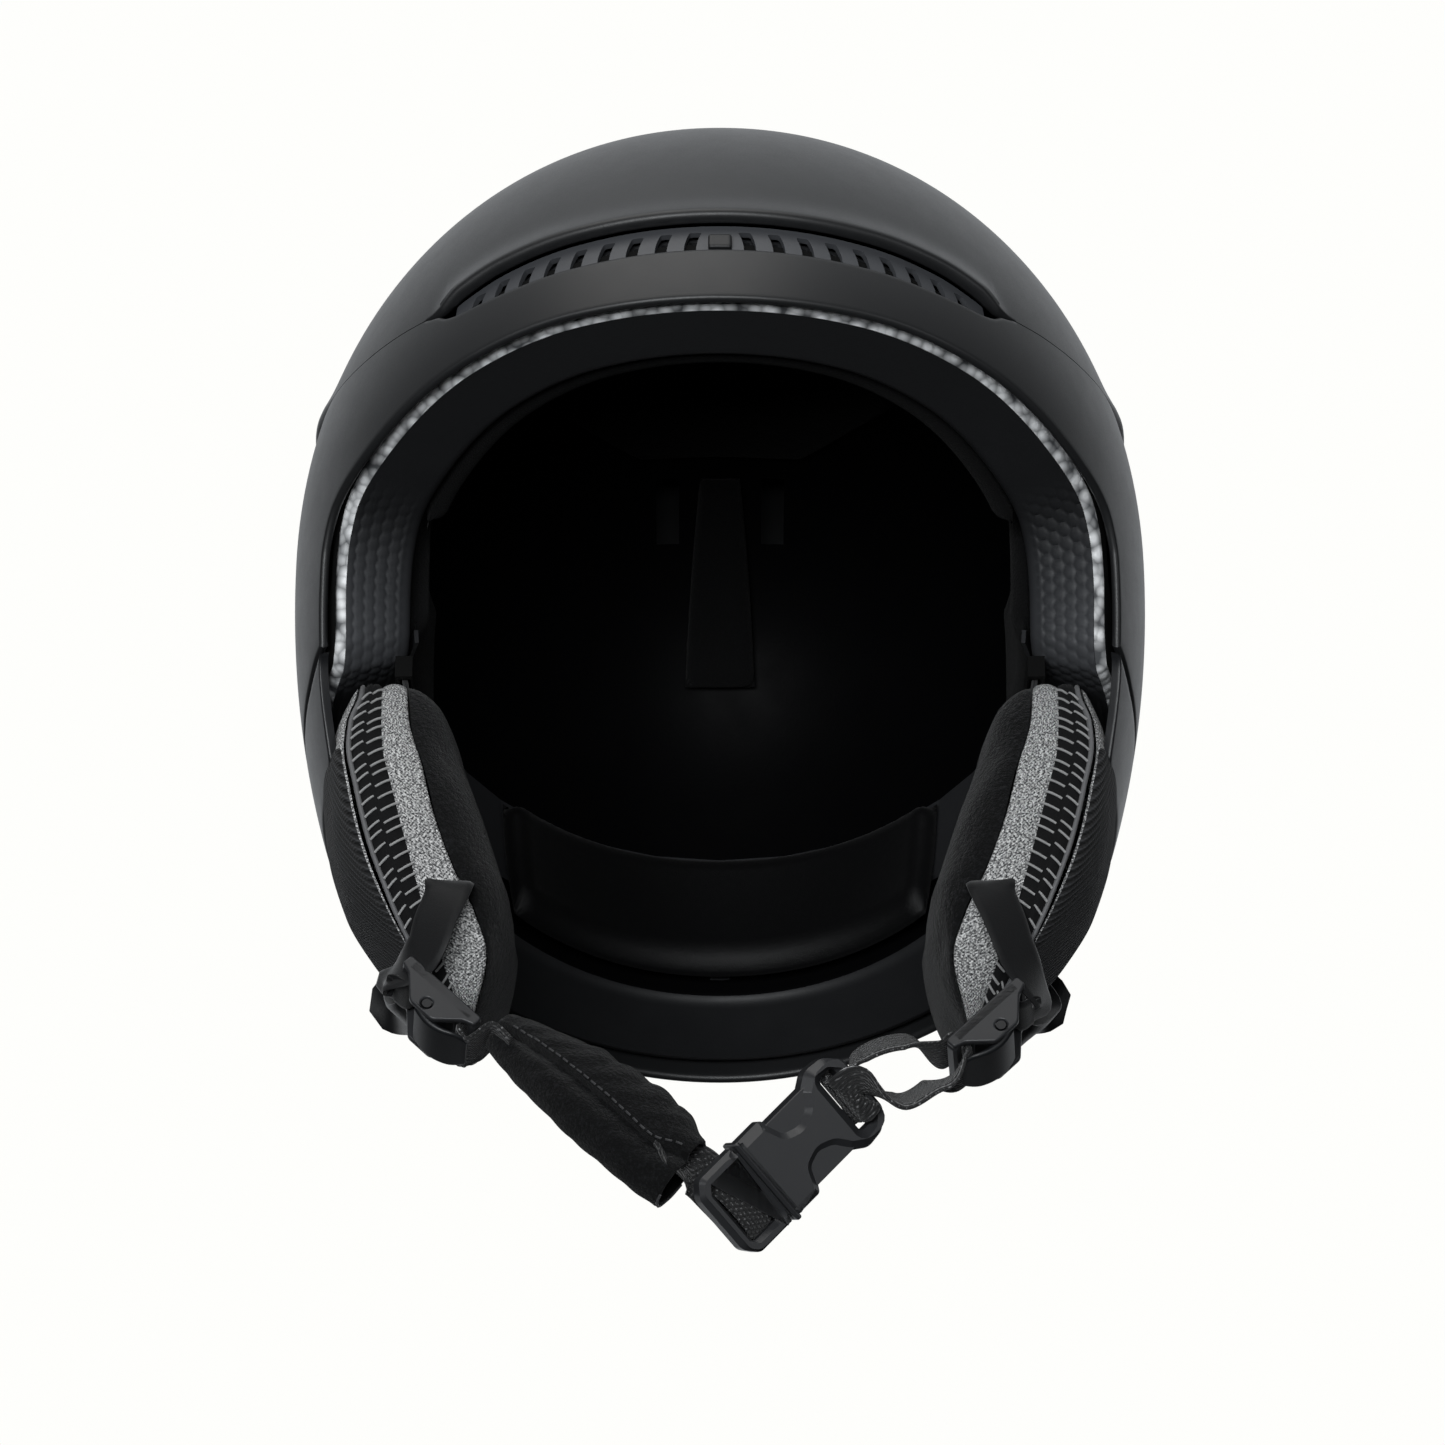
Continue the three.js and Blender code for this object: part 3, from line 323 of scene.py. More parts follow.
def bead_edge(name):
    """The foam's outer rim, with painted highlights: near-white spots on the bead cells and a lighter tone towards
    the front stand in for the light the bead pattern catches.
    """
    s = Shader(name, (0.1, 0.1, 0.1), 0.35)
    cells = s.put("TexVoronoi", {"Vector": s.object, "Scale": 330.0}, feature="F1").outputs[0]
    split = s.put("SeparateXYZ", {0: s.object})
    front = s.map_range(split.outputs[1], 0.030, -0.010, 0.0, 1.0)
    # Painted highlight: near-white glints on the cells, only towards the front, over a rim painted lighter towards
    # the front.
    painted_glint = s.math("MULTIPLY", s.map_range(cells, 0.25, 0.85, 1.0, 0.0), front)
    s.base(s.mix(painted_glint, s.mix(front, (0.015, 0.015, 0.016), (0.10, 0.104, 0.11)), (0.98, 0.99, 1.0)))
    s.normal(s.bump(painted_glint, 0.0004, 1.0))
    return s.material


def finish(key, make, *values, **sockets):
    FINISH[key] = make(f"{key}_finish", *values, **sockets)


finish("shell", moulded, (0.0170, 0.0175, 0.0185), 0.42)
finish("trim", moulded, (0.0115, 0.0122, 0.0138), 0.40, 2200)
# The foam's second colour is a painted highlight on its cells low at the front.
finish("foam", bead_foam, (0.017, 0.0175, 0.019), (0.075, 0.078, 0.085))
# Painted shade: a near-black copy of the foam finish, for the foam's inside faces in the helmet's cavity.
finish("foam_deep", bead_foam, (0.0022, 0.0022, 0.0025), (0.0022, 0.0022, 0.0025))
# Painted highlight: the foam's rim chamfer is painted with glints and a lighter front.
finish("foam_edge", bead_edge)
finish("plastic", moulded, (0.032, 0.0328, 0.0352), 0.34, 3000, 0.000010)
finish("button", moulded, (0.010, 0.0105, 0.0115), 0.45, 3000, 0.000010)
finish("insert", moulded, (0.070, 0.073, 0.080), 0.46, 2400)
finish("fleece", brushed_cloth, (0.0009, 0.0010, 0.0012), (0.026, 0.027, 0.031), 1100, 0.0010, 0.5, 0.1)
finish("plush", brushed_cloth, (0.0010, 0.0011, 0.0014), (0.027, 0.028, 0.032), 900, 0.0011, 0.5, 0.15)
# Painted shade: a darker, low-sheen copy of the fleece, for the pads deep inside the helmet.
finish("inside", brushed_cloth, (0.0008, 0.0008, 0.0010), (0.005, 0.005, 0.006), 1300, 0.0006, 0.4, 0.03)
finish("satin", brushed_cloth, (0.0018, 0.0018, 0.0021), (0.006, 0.006, 0.007), 2600, 0.0002, 0.4, 0.05, 0.5)
finish("ribbon", brushed_cloth, (0.0036, 0.0038, 0.0046), (0.0070, 0.0072, 0.0082), 2400, 0.0001, 0.5, 0.2, 0.5)
finish("melange", melange)
finish("mesh", ribbed)
finish("webbing", woven, (0.0075, 0.0075, 0.008), (0.75, 0.75, 0.76), 1.5, 1.0, 0.00022)
finish("thread", brushed_cloth, (0.34, 0.34, 0.34), (0.62, 0.62, 0.62), 5000, 0.0001, 0.6, 0.2, 0.6)
finish("grey_thread", brushed_cloth, (0.05, 0.05, 0.053), (0.15, 0.15, 0.155), 5000, 0.0001, 0.6, 0.2, 0.6)
finish("tape", brushed_cloth, (0.0035, 0.0035, 0.004), (0.018, 0.018, 0.020), 3400, 0.0003, 0.5, 0.05, 0.85)
# Painted highlight: the piping's light grey colour stands in for the thin highlight along the satin piping.
finish("piping", brushed_cloth, (0.16, 0.16, 0.165), (0.26, 0.26, 0.27), 3600, 0.0001, 0.4, 0.2, 0.5)
finish("lining", brushed_cloth, (0.0015, 0.0015, 0.0015), (0.006, 0.006, 0.006), 2600, 0.0002, 0.4, 0.0, 0.9)
finish("steel", moulded, (0.36, 0.37, 0.39), 0.3, 1500, 0.000006, 0.08, Metallic=1.0)


def make_floor():
    mesh = bpy.data.meshes.new("floor")
    size, z = 6.0, -0.95
    mesh.from_pydata([(-size, -size, z), (size, -size, z), (size, size, z), (-size, size, z)], [], [(0, 1, 2, 3)])
    floor = bpy.data.objects.new("floor", mesh)
    bpy.context.scene.collection.objects.link(floor)
    s = Shader("floor_finish", (0.86, 0.86, 0.85), 0.7)
    s.base(s.mix(s.noise(3.0, 2.0), (0.84, 0.84, 0.83), (0.88, 0.88, 0.87)))
    s.normal(s.bump(s.noise(60, 4.0), 0.0003, 0.3))
    mesh.materials.append(s.material)
    floor.visible_diffuse = False
    floor.visible_glossy = False
    floor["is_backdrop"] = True


make_floor()

# ---------------------------------------------------------------- the helmet's surfaces

HALF_WIDTH, FRONT, BACK, TOP, BOTTOM, POWER = 112.0, 133.0, 140.0, 118.0, 170.0, 2.05
WALL = 2.5
FOAM_GAP = 4.0
CAVITY = 26.0
LIP = 2.6
HOOD = 2.0
LIP_SPAN = 4.2
VENT_HALF = 33.0


def through(points):
    """A smooth, non-overshooting curve through the points, for either sign of its argument."""
    x = np.array([p[0] for p in points], float)
    y = np.array([p[1] for p in points], float)
    rate = np.diff(y) / np.diff(x)
    slope = np.zeros(len(x))
    product = rate[:-1] * rate[1:]
    total = np.where(product > 0, rate[:-1] + rate[1:], 1.0)
    slope[1:-1] = np.where(product > 0, 2 * product / total, 0.0)

    def curve(value):
        q = np.clip(np.abs(np.asarray(value, float)), x[0], x[-1])
        i = np.clip(np.searchsorted(x, q, side="right") - 1, 0, len(x) - 2)
        span = x[i + 1] - x[i]
        t = (q - x[i]) / span
        rise = y[i + 1] - y[i]
        start, end = slope[i] * span, slope[i + 1] * span
        return y[i] + t * (start + t * (3 * rise - 2 * start - end + t * (start + end - 2 * rise)))

    return curve


shell_rim = through([
    (0, 3.5), (16, 3.2), (30, 1.6), (47, -2.8), (55, -5.4), (59, -9.5), (61, -15), (62.3, -19),
    (64, -24), (67, -32.5), (72, -35), (90, -35.3), (140, -34.5), (180, -35.8)])
trim_seam = through([(62, -20.8), (72, -22.5), (90, -24.5), (108, -27.5), (117, -31), (121, -34.9)])
dome_edge = through([
    (0, 14.6), (17, 14.0), (26, 12.9), (31, 11.6), (34, 10.8), (42, 11.6), (52, 13), (64, 15.6),
    (76, 18.4), (92, 19.6), (120, 18), (150, 13.5), (180, 11.5)])
vent_sill = through([(0, 10.6), (17, 10.1), (26, 9.4), (31, 9.2), (33, 9.6), (34.5, 10.5)])
foam_rim = through([
    (0, 4.1), (16, 3.8), (30, 2.3), (46, -1.9), (54, -4.6), (57.6, -8.5), (59.8, -14), (61, -18.5),
    (62.2, -21.5), (65, -23.8), (75, -24.6), (105, -25), (125, -31), (145, -34), (180, -34.8)])


def direction(azimuth, elevation):
    a, e = np.radians(azimuth), np.radians(elevation)
    return np.stack([np.cos(e) * np.sin(a), -np.cos(e) * np.cos(a), np.sin(e)], axis=-1)


def egg_radius(azimuth, elevation):
    d = direction(azimuth, elevation)
    long = np.where(d[..., 1] < 0, FRONT, BACK)
    tall = np.where(d[..., 2] > 0, TOP, BOTTOM)
    x, y, z = (np.abs(d[..., k] / half) ** POWER for k, half in enumerate((HALF_WIDTH, long, tall)))
    return (x + y + z) ** (-1 / POWER)


def smoothstep(x, low, high):
    t = np.clip((np.asarray(x, float) - low) / (high - low), 0, 1)
    return t * t * (3 - 2 * t)


def cavity_radius(azimuth, elevation):
    return egg_radius(azimuth, elevation) - CAVITY - smoothstep(elevation, 20, 60) * 4.0


def on_egg(azimuth, elevation, depth):
    return direction(azimuth, elevation) * (egg_radius(azimuth, elevation) - depth)[..., None]


def in_cavity(azimuth, elevation, depth):
    return direction(azimuth, elevation) * (cavity_radius(azimuth, elevation) - depth)[..., None]


def beside(azimuth, edge, distance):
    """Places at a distance in mm above (or, if negative, below) an edge curve, square to it on the surface."""
    step = 0.15
    e = edge(azimuth)
    radius = egg_radius(azimuth, e)
    per_azimuth = radius * np.cos(np.radians(e)) * math.pi / 180
    per_elevation = radius * math.pi / 180
    run = 2 * step * per_azimuth
    climb = edge(np.abs(azimuth) + step) - edge(np.abs(azimuth) - step)
    rise = climb * np.where(azimuth < 0, -1, 1) * per_elevation
    length = np.hypot(run, rise)
    return azimuth - rise / length * distance / per_azimuth, e + run / length * distance / per_elevation


# ---------------------------------------------------------------- mesh building

def unit(v):
    v = np.asarray(v, float)
    return v / np.maximum(np.linalg.norm(v, axis=-1, keepdims=True), 1e-12)


class Part:
    """Collects faces for one object, in mm."""

    def __init__(self):
        self.points, self.faces, self.uvs, self.slots, self.count = [], [], [], [], 0

    def faces_from(self, points, faces, uv=None, slot=0):
        """Faces as an array of vertex numbers; uv gives one pair a vertex, or one a corner of each face."""
        points = np.asarray(points, float).reshape(-1, 3)
        faces = np.asarray(faces, int)
        if uv is None:
            uv = points[:, :2]
        uv = np.asarray(uv, float)
        if uv.ndim == 2:
            uv = uv[faces]
        self.points.append(points)
        self.faces.append(faces + self.count)
        self.uvs.append(uv)
        self.slots.append(np.full(len(faces), slot))
        self.count += len(points)

    def grid(self, points, wrap_u=False, wrap_v=False, uv=None, slot=0, flip=False, keep=None):
        """A grid of points [u, v]. uv is [u, v, 2], one longer in a direction that wraps."""
        n, m = points.shape[:2]
        nu, nv = n - (not wrap_u), m - (not wrap_v)
        i, j = np.meshgrid(np.arange(nu), np.arange(nv), indexing="ij")
        corners = [(i, j), (i + 1, j), (i + 1, j + 1), (i, j + 1)]
        if flip:
            corners.reverse()
        faces = np.stack([(a % n) * m + (b % m) for a, b in corners], axis=-1).reshape(-1, 4)
        if uv is None:
            corner_uv = np.stack([points[a % n, b % m][..., :2] for a, b in corners], axis=-2).reshape(-1, 4, 2)
        else:
            n2, m2 = uv.shape[:2]
            corner_uv = np.stack([uv[a % n2, b % m2] for a, b in corners], axis=-2).reshape(-1, 4, 2)
        if keep is not None:
            chosen = keep.reshape(-1)
            faces, corner_uv = faces[chosen], corner_uv[chosen]
        self.faces_from(points, faces, corner_uv, slot)

    def fan(self, ring, slot=0, flip=False, uv=None):
        """Closes a ring of points with a fan about its centre."""
        ring = np.asarray(ring)
        n = len(ring)
        points = np.vstack([ring, ring.mean(axis=0)])
        faces = np.array([(i, (i + 1) % n, n) if not flip else ((i + 1) % n, i, n) for i in range(n)])
        self.points.append(points)
        self.faces.append(faces + self.count)
        flat = points[:, :2] if uv is None else np.vstack([uv, np.mean(uv, axis=0)])
        self.uvs.append(flat[faces])
        self.slots.append(np.full(n, slot))
        self.count += n + 1

    def tube(self, path, radius, sides=8, closed=False, slot=0, cap=True):
        path = np.asarray(path, float)
        n = len(path)
        if closed:
            tangent = unit(np.roll(path, -1, 0) - np.roll(path, 1, 0))
        else:
            tangent = unit(np.gradient(path, axis=0))
        up = np.array([0.0, 0.0, 1.0]) if abs(tangent[0][2]) < 0.9 else np.array([1.0, 0.0, 0.0])
        normal = np.empty_like(path)
        current = unit(np.cross(tangent[0], up))
        for k in range(n):
            current = unit(current - tangent[k] * np.dot(current, tangent[k]))
            normal[k] = current
        side = np.cross(tangent, normal)
        angle = np.linspace(0, 2 * math.pi, sides, endpoint=False)
        radius = np.broadcast_to(np.asarray(radius, float), (n,))
        ring = np.cos(angle)[None, :, None] * normal[:, None] + np.sin(angle)[None, :, None] * side[:, None]
        points = path[:, None] + ring * radius[:, None, None]
        length = np.concatenate([[0], np.cumsum(np.linalg.norm(np.diff(path, axis=0), axis=1))])
        if closed:
            length = np.append(length, length[-1] + np.linalg.norm(path[0] - path[-1]))
        around = np.linspace(0, 2 * math.pi * radius.mean(), sides + 1)
        uv = np.stack(np.meshgrid(length, around, indexing="ij"), axis=-1)
        self.grid(points, closed, True, uv, slot, flip=True)
        if cap and not closed:
            self.fan(points[0], slot)
            self.fan(points[-1], slot, flip=True)

    def make(self, name, materials, sharp=None, merge=None):
        mesh = bpy.data.meshes.new(name)
        faces = [tuple(f) for block in self.faces for f in block.tolist()]
        mesh.from_pydata((np.vstack(self.points) * MM).tolist(), [], faces)
        layer = mesh.uv_layers.new(name="UVMap")
        flat = np.concatenate([block.reshape(-1, 2) for block in self.uvs]).astype(np.float32)
        layer.data.foreach_set("uv", flat.reshape(-1))
        for material in materials:
            mesh.materials.append(material)
        mesh.polygons.foreach_set("material_index", np.concatenate(self.slots).astype(np.int32))
        mesh.polygons.foreach_set("use_smooth", np.ones(len(mesh.polygons), bool))
        if merge is not None:
            work = bmesh.new()
            work.from_mesh(mesh)
            bmesh.ops.remove_doubles(work, verts=work.verts, dist=merge * MM)
            work.to_mesh(mesh)
            work.free()
        if sharp is not None:
            mesh.set_sharp_from_angle(angle=math.radians(sharp))
        mesh.validate()
        obj = bpy.data.objects.new(name, mesh)
        bpy.context.scene.collection.objects.link(obj)
        return obj


def spaced(stops, steps):
    """Places from stops[0] to stops[-1], with each stretch cut into pieces of about its step."""
    out = [stops[0]]
    for a, b, step in zip(stops[:-1], stops[1:], steps):
        count = max(1, round((b - a) / step))
        out.extend(a + (b - a) * (k + 1) / count for k in range(count))
    return np.array(out, float)


def settle(obj, body, slot, *nodes):
    """A finished piece: it rides its body and stands for its CAD nodes. Its slot argument is not used."""
    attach(obj, body)
    if nodes:
        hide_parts(*nodes)
    return obj


def difference(obj, cutter):
    modifier = obj.modifiers.new("cut", "BOOLEAN")
    modifier.operation = "DIFFERENCE"
    modifier.object = cutter
    modifier.solver = "EXACT"
    bpy.context.view_layer.update()
    graph = bpy.context.evaluated_depsgraph_get()
    mesh = bpy.data.meshes.new_from_object(obj.evaluated_get(graph))
    obj.modifiers.clear()
    old = obj.data
    obj.data = mesh
    bpy.data.meshes.remove(old)
    bpy.data.objects.remove(cutter)


RING = spaced([-180, -125, -70, -50, 50, 70, 125, 180], [1.25, 0.75, 0.25, 0.5, 0.25, 0.75, 1.25])[:-1]
HALF_TURN = np.linspace(0, math.pi, 11)


def ring_wall(low, high, thickness, rows, round_low, round_high):
    """Places and depths of a closed section, all round, between two edge curves: [azimuth, loop]."""
    az, el, depth = [], [], []

    def at(edge, distance, d):
        a, e = beside(RING, edge, distance)
        az.append(a)
        el.append(e)
        depth.append(np.full(len(RING), d))

    low_a, low_e = beside(RING, low, round_low)
    high_a, high_e = beside(RING, high, -round_high)
    for t in np.linspace(0, 1, rows):
        az.append(low_a + (high_a - low_a) * t)
        el.append(low_e + (high_e - low_e) * t)
        depth.append(np.zeros(len(RING)))
    half = thickness / 2
    for turn in HALF_TURN[1:-1]:
        at(high, -round_high * (1 - math.sin(turn)), half * (1 - math.cos(turn)))
    for t in np.linspace(1, 0, max(rows // 3, 4)):
        az.append(low_a + (high_a - low_a) * t)
        el.append(low_e + (high_e - low_e) * t)
        depth.append(np.full(len(RING), thickness))
    for turn in HALF_TURN[::-1][1:-1]:
        at(low, round_low * (1 - math.sin(turn)), half * (1 - math.cos(turn)))
    return np.stack(az, 1), np.stack(el, 1), np.stack(depth, 1)


# ---------------------------------------------------------------- hard shell

lip_at = through([(0, HOOD), (31, HOOD), (36, 0.0), (62, 0.0), (80, LIP), (180, LIP)])


def dome_brow(azimuth):
    """The dome's lower edge, raised over the vent."""
    return dome_edge(azimuth) + 0.55 * np.sqrt(np.clip(1 - (np.abs(azimuth) / 33.6) ** 10, 0, 1))


def lip_height(azimuth, elevation):
    above = (elevation - dome_brow(azimuth)) / LIP_SPAN
    return lip_at(azimuth) * np.exp(-np.clip(above, 0, None) ** 2 * 2.5)


def flush(azimuth):
    """1 where the dome and the lower shell meet in one smooth surface, between the vent and the temples."""
    side = np.abs(azimuth)
    return smoothstep(side, 34, 37) * (1 - smoothstep(side, 61, 68))


def rounded_loop(outline, radius, steps=5):
    """A closed outline with its corners rounded."""
    outline = [np.array(p, float) for p in outline]
    result = []
    n = len(outline)
    for k in range(n):
        before, here, after = outline[k - 1], outline[k], outline[(k + 1) % n]
        a, b = unit(before - here), unit(after - here)
        angle = math.acos(float(np.clip(np.dot(a, b), -1, 1)))
        r = radius[k] if isinstance(radius, (list, tuple)) else radius
        if r <= 0 or angle > math.radians(176):
            result.append(here)
            continue
        room = 0.49 * min(np.linalg.norm(before - here), np.linalg.norm(after - here))
        cut = min(r / math.tan(angle / 2), room)
        real = cut * math.tan(angle / 2)
        centre = here + unit(a + b) * real / math.sin(angle / 2)
        start, end = here + a * cut - centre, here + b * cut - centre
        for t in np.linspace(0, 1, steps + 1):
            way = unit(start * (1 - t) + end * t)
            result.append(centre + way * real)
    return np.array(result)


def prism(name, loop, x0, x1, axis="x"):
    """A plain prism used as a cutter: loop is in the plane square to its axis."""
    part = Part()
    n = len(loop)
    rings = []
    for c in (x0, x1):
        third = np.full(n, c)
        order = {"x": (third, loop[:, 0], loop[:, 1]), "y": (loop[:, 0], third, loop[:, 1])}[axis]
        rings.append(np.stack(order, 1))
    part.grid(np.array(rings), wrap_v=True)
    part.fan(rings[0])
    part.fan(rings[1], flip=True)
    return welded(part.make(name, []))


def welded(obj):
    """The same object with its seams merged and its faces turned outwards."""
    work = bmesh.new()
    work.from_mesh(obj.data)
    bmesh.ops.remove_doubles(work, verts=work.verts, dist=1e-7)
    bmesh.ops.recalc_face_normals(work, faces=work.faces)
    work.to_mesh(obj.data)
    work.free()
    return obj


def exhaust_cutter(side):
    """One of the two channels through the foam at the back of the crown."""
    ray = lambda elevation, r: (math.cos(math.radians(elevation)) * r, math.sin(math.radians(elevation)) * r)
    wedge = np.array([ray(38.5, 60), ray(38.5, 170), ray(50.5, 170), ray(50.5, 60)])
    return prism("slot_cutter", wedge, side * 15 - 3.25, side * 15 + 3.25)


def build_dome():
    az, el, depth = [], [], []
    joint = flush(RING)
    thick = (WALL + lip_at(RING)) / 2
    roll = thick * (1 - joint) + 0.12 * joint
    edge_a, edge_e = beside(RING, dome_brow, roll)
    for t in np.linspace(1, 0, 12)[:-1]:
        az.append(RING + (edge_a - RING) * (1 - t))
        el.append(edge_e + (89.9 - edge_e) * t)
        depth.append(np.full(len(RING), WALL))
    for turn in HALF_TURN[::-1]:
        a, e = beside(RING, dome_brow, roll * (1 - math.sin(turn)))
        az.append(a)
        el.append(e)
        depth.append(thick * (1 - math.cos(turn)) - lip_height(a, e))
    for t in np.linspace(0, 1, 96)[1:] ** 1.25:
        az.append(edge_a + (RING - edge_a) * t)
        e = edge_e + (89.9 - edge_e) * t
        el.append(e)
        depth.append(-lip_height(RING, e))
    points = on_egg(*(np.stack(v, 1) for v in (az, el, depth)))
    part = Part()
    part.grid(points, wrap_u=True)
    part.fan(points[:, 0], flip=False)
    part.fan(points[:, -1], flip=True)
    dome = part.make("shell_dome", [FINISH["shell"]], merge=0.001)
    smooth_by_angle(dome, 50)
    return settle(dome, "helmet", "shell", "outer_shell")


def smooth_by_angle(obj, degrees):
    mesh = obj.data
    mesh.polygons.foreach_set("use_smooth", np.ones(len(mesh.polygons), bool))
    mesh.set_sharp_from_angle(angle=math.radians(degrees))


def build_band():
    def low(azimuth):
        side = np.abs(azimuth)
        both = np.maximum(trim_seam(azimuth), shell_rim(azimuth))
        return np.where((side > 62) & (side < 121), both, shell_rim(azimuth))

    def high(azimuth):
        return np.where(np.abs(azimuth) < 34.5, vent_sill(azimuth), dome_edge(azimuth) - 0.3 + 0.26 * flush(azimuth))

    az, el, depth = ring_wall(low, high, WALL, 26, 1.25, 1.25 - 1.13 * flush(RING))
    part = Part()
    part.grid(on_egg(az, el, depth), wrap_u=True, wrap_v=True, flip=True)
    band = part.make("shell_band", [FINISH["shell"]])
    turn = np.linspace(0, 2 * math.pi, 96, endpoint=False)
    hole = np.stack([15.3 * np.cos(turn), -64 + 15.3 * np.sin(turn)], 1)
    difference(band, prism("window_cutter", hole, 112, 150, "y"))
    smooth_by_angle(band, 40)
    return settle(band, "helmet", "shell", "brow_band")


def border_round(distance, radius):
    """Depth of a rounded rim at a distance from the border."""
    t = np.clip(1 - distance / radius, 0, 1)
    return radius * (1 - np.sqrt(1 - t * t))


def clustered(count, length, radius):
    """Places from 0 to 1 that crowd within radius of both ends."""
    near = radius / length * np.array([0, 0.04, 0.14, 0.3, 0.55, 1.0])
    middle = np.linspace(near[-1], 1 - near[-1], count)
    return np.concatenate([near[:-1], middle, 1 - near[:-1][::-1]])


def curved_plate(name, place, surface, long, tall, thickness, radius, counts, material):
    """A plate on the helmet with rounded rims. place(u, v) gives azimuth and elevation; long and tall are mm."""
    u = clustered(counts[0], long, radius)
    v = clustered(counts[1], tall, radius)
    uu, vv = np.meshgrid(u, v, indexing="ij")
    az, el = place(uu, vv)
    edge_u = np.minimum(uu, 1 - uu) * long
    edge_v = np.minimum(vv, 1 - vv) * tall
    sink = np.minimum(border_round(edge_u, radius) + border_round(edge_v, radius), radius)
    front = surface(az, el, sink)
    back = surface(az, el, np.full(az.shape, thickness))
    part = Part()
    uv = np.stack([uu * long, vv * tall], -1)
    facing = np.cross(front[1, 0] - front[0, 0], front[0, 1] - front[0, 0]) @ (front[0, 0])
    flip = facing < 0
    part.grid(front, uv=uv, flip=flip)
    part.grid(back, uv=uv, flip=not flip)
    for edge, turned in ((np.s_[:, 0], False), (np.s_[:, -1], True), (np.s_[0, :], True), (np.s_[-1, :], False)):
        strip = np.stack([back[edge], front[edge]], 1)
        part.grid(strip, flip=turned != flip)
    obj = part.make(name, [material], merge=0.0005)
    smooth_by_angle(obj, 45)
    return obj


def build_trims():
    for name, side in (("left", 1), ("right", -1)):
        def place(u, v):
            start = 67.8 + (63.2 - 67.8) * v
            azimuth = start + (120 - start) * u
            low = shell_rim(azimuth)
            return side * azimuth, low + (trim_seam(azimuth) - 0.6 - low) * v
        trim = curved_plate(f"shell_trim_{name}", place, on_egg, 118, 20, WALL, 1.0, (90, 18), FINISH["trim"])
        settle(trim, "helmet", "trim", f"side_trim_{name}")


def hex_relief(s, t, size):
    """Height from 0 at the joints to 1 in the middle of hexagonal cells."""
    def nearest(ox, oy):
        w, h = size, size * math.sqrt(3)
        dx = (s - ox + w / 2) % w - w / 2
        dy = (t - oy + h / 2) % h - h / 2
        ax, ay = np.abs(dx), np.abs(dy)
        return np.maximum(ax, ax * 0.5 + ay * math.sqrt(3) / 2)
    d = np.minimum(nearest(0, 0), nearest(size / 2, size * math.sqrt(3) / 2)) / (size / 2)
    return np.sqrt(np.clip(1 - d * d, 0, 1))


def along_rim(fine):
    """Azimuths all round, evenly spaced by the foam rim's own length: close in front, wider behind."""
    places = on_egg(fine, foam_rim(fine), np.full(len(fine), 15.0))
    gaps = np.linalg.norm(np.diff(places, axis=0), axis=1)
    middle = (fine[1:] + fine[:-1]) / 2
    run = np.concatenate([[0], np.cumsum(gaps / np.where(np.abs(middle) < 70, 0.6, 2.0))])
    return np.interp(np.linspace(0, run[-1], int(run[-1])), run, fine)[:-1]


def build_foam():
    ring = along_rim(spaced([-180, -64, 64, 180], [0.02, 0.02, 0.02]))
    rim = foam_rim(ring)
    mid = on_egg(ring, rim, np.full(len(ring), 15.0))
    run = np.concatenate([[0], np.cumsum(np.linalg.norm(np.diff(mid, axis=0), axis=1))])
    chamfer, inner_round = 2.9, 3.0
    rows = []
    for up in (8.8, 6.6, 5.0, 3.3, 1.65):
        rows.append(on_egg(ring, rim + up, np.full(len(ring), FOAM_GAP)))
    def at(distance, depth):
        a, e = foam_beside(ring, distance)
        return on_egg(a, e, np.full(len(ring), depth) if np.isscalar(depth) else depth)
    for t in np.linspace(0, 1, 5):
        rows.append(at(chamfer * 0.9 * (1 - t), FOAM_GAP + 0.25 + chamfer * 0.75 * t * t + 0.2 * t))
    start = FOAM_GAP + chamfer * 0.75 + 0.2
    stop = CAVITY - inner_round
    strength = foam_texture(ring)
    for t in np.linspace(0, 1, 52)[1:]:
        depth = start + (stop - start) * t
        across = depth - FOAM_GAP
        scale = hex_relief(run, np.full(len(ring), across), 3.6)
        fade = smoothstep(across, 1.2, 2.4) * (1 - smoothstep(across, 17.5, 19.5))
        rows.append(at(-0.55 * scale * fade * strength, depth))
    for turn in np.linspace(0, math.pi / 2, 8)[1:]:
        rows.append(at(inner_round * (1 - math.cos(turn)), stop + inner_round * math.sin(turn)))
    base_a, base_e = foam_beside(ring, inner_round)
    for t in np.linspace(0, 1, 46)[1:]:
        a = base_a + (ring - base_a) * t
        rows.append(in_cavity(a, base_e + (89.9 - base_e) * t, np.zeros(len(ring))))
    points = np.stack(rows, 1)
    part = Part()
    # Painted shadow: the foam's outer wall in the gap under the shell takes the near-black lining finish.
    part.grid(points[:, :6], wrap_u=True, slot=2, flip=True)
    part.grid(points[:, 5:10], wrap_u=True, slot=1, flip=True)
    part.grid(points[:, 9:66], wrap_u=True, flip=True)
    # Painted shade: the foam's inside faces take the near-black copy of the foam finish.
    part.grid(points[:, 65:], wrap_u=True, slot=3, flip=True)
    part.fan(points[:, -1], slot=3, flip=False)
    foam = part.make("foam", [FINISH[key] for key in ("foam", "foam_edge", "lining", "foam_deep")], merge=0.001)
    for side in (1, -1):
        difference(foam, exhaust_cutter(side))
    smooth_by_angle(foam, 50)
    return settle(foam, "helmet", "foam", "foam_liner")


def foam_beside(azimuth, distance):
    return beside(azimuth, foam_rim, distance)


def foam_texture(azimuth):
    """How strongly the cell relief shows round the brow."""
    side = np.abs(azimuth)
    return smoothstep(side, 49, 55) * (1 - smoothstep(side, 80, 92))


# ---------------------------------------------------------------- front vent

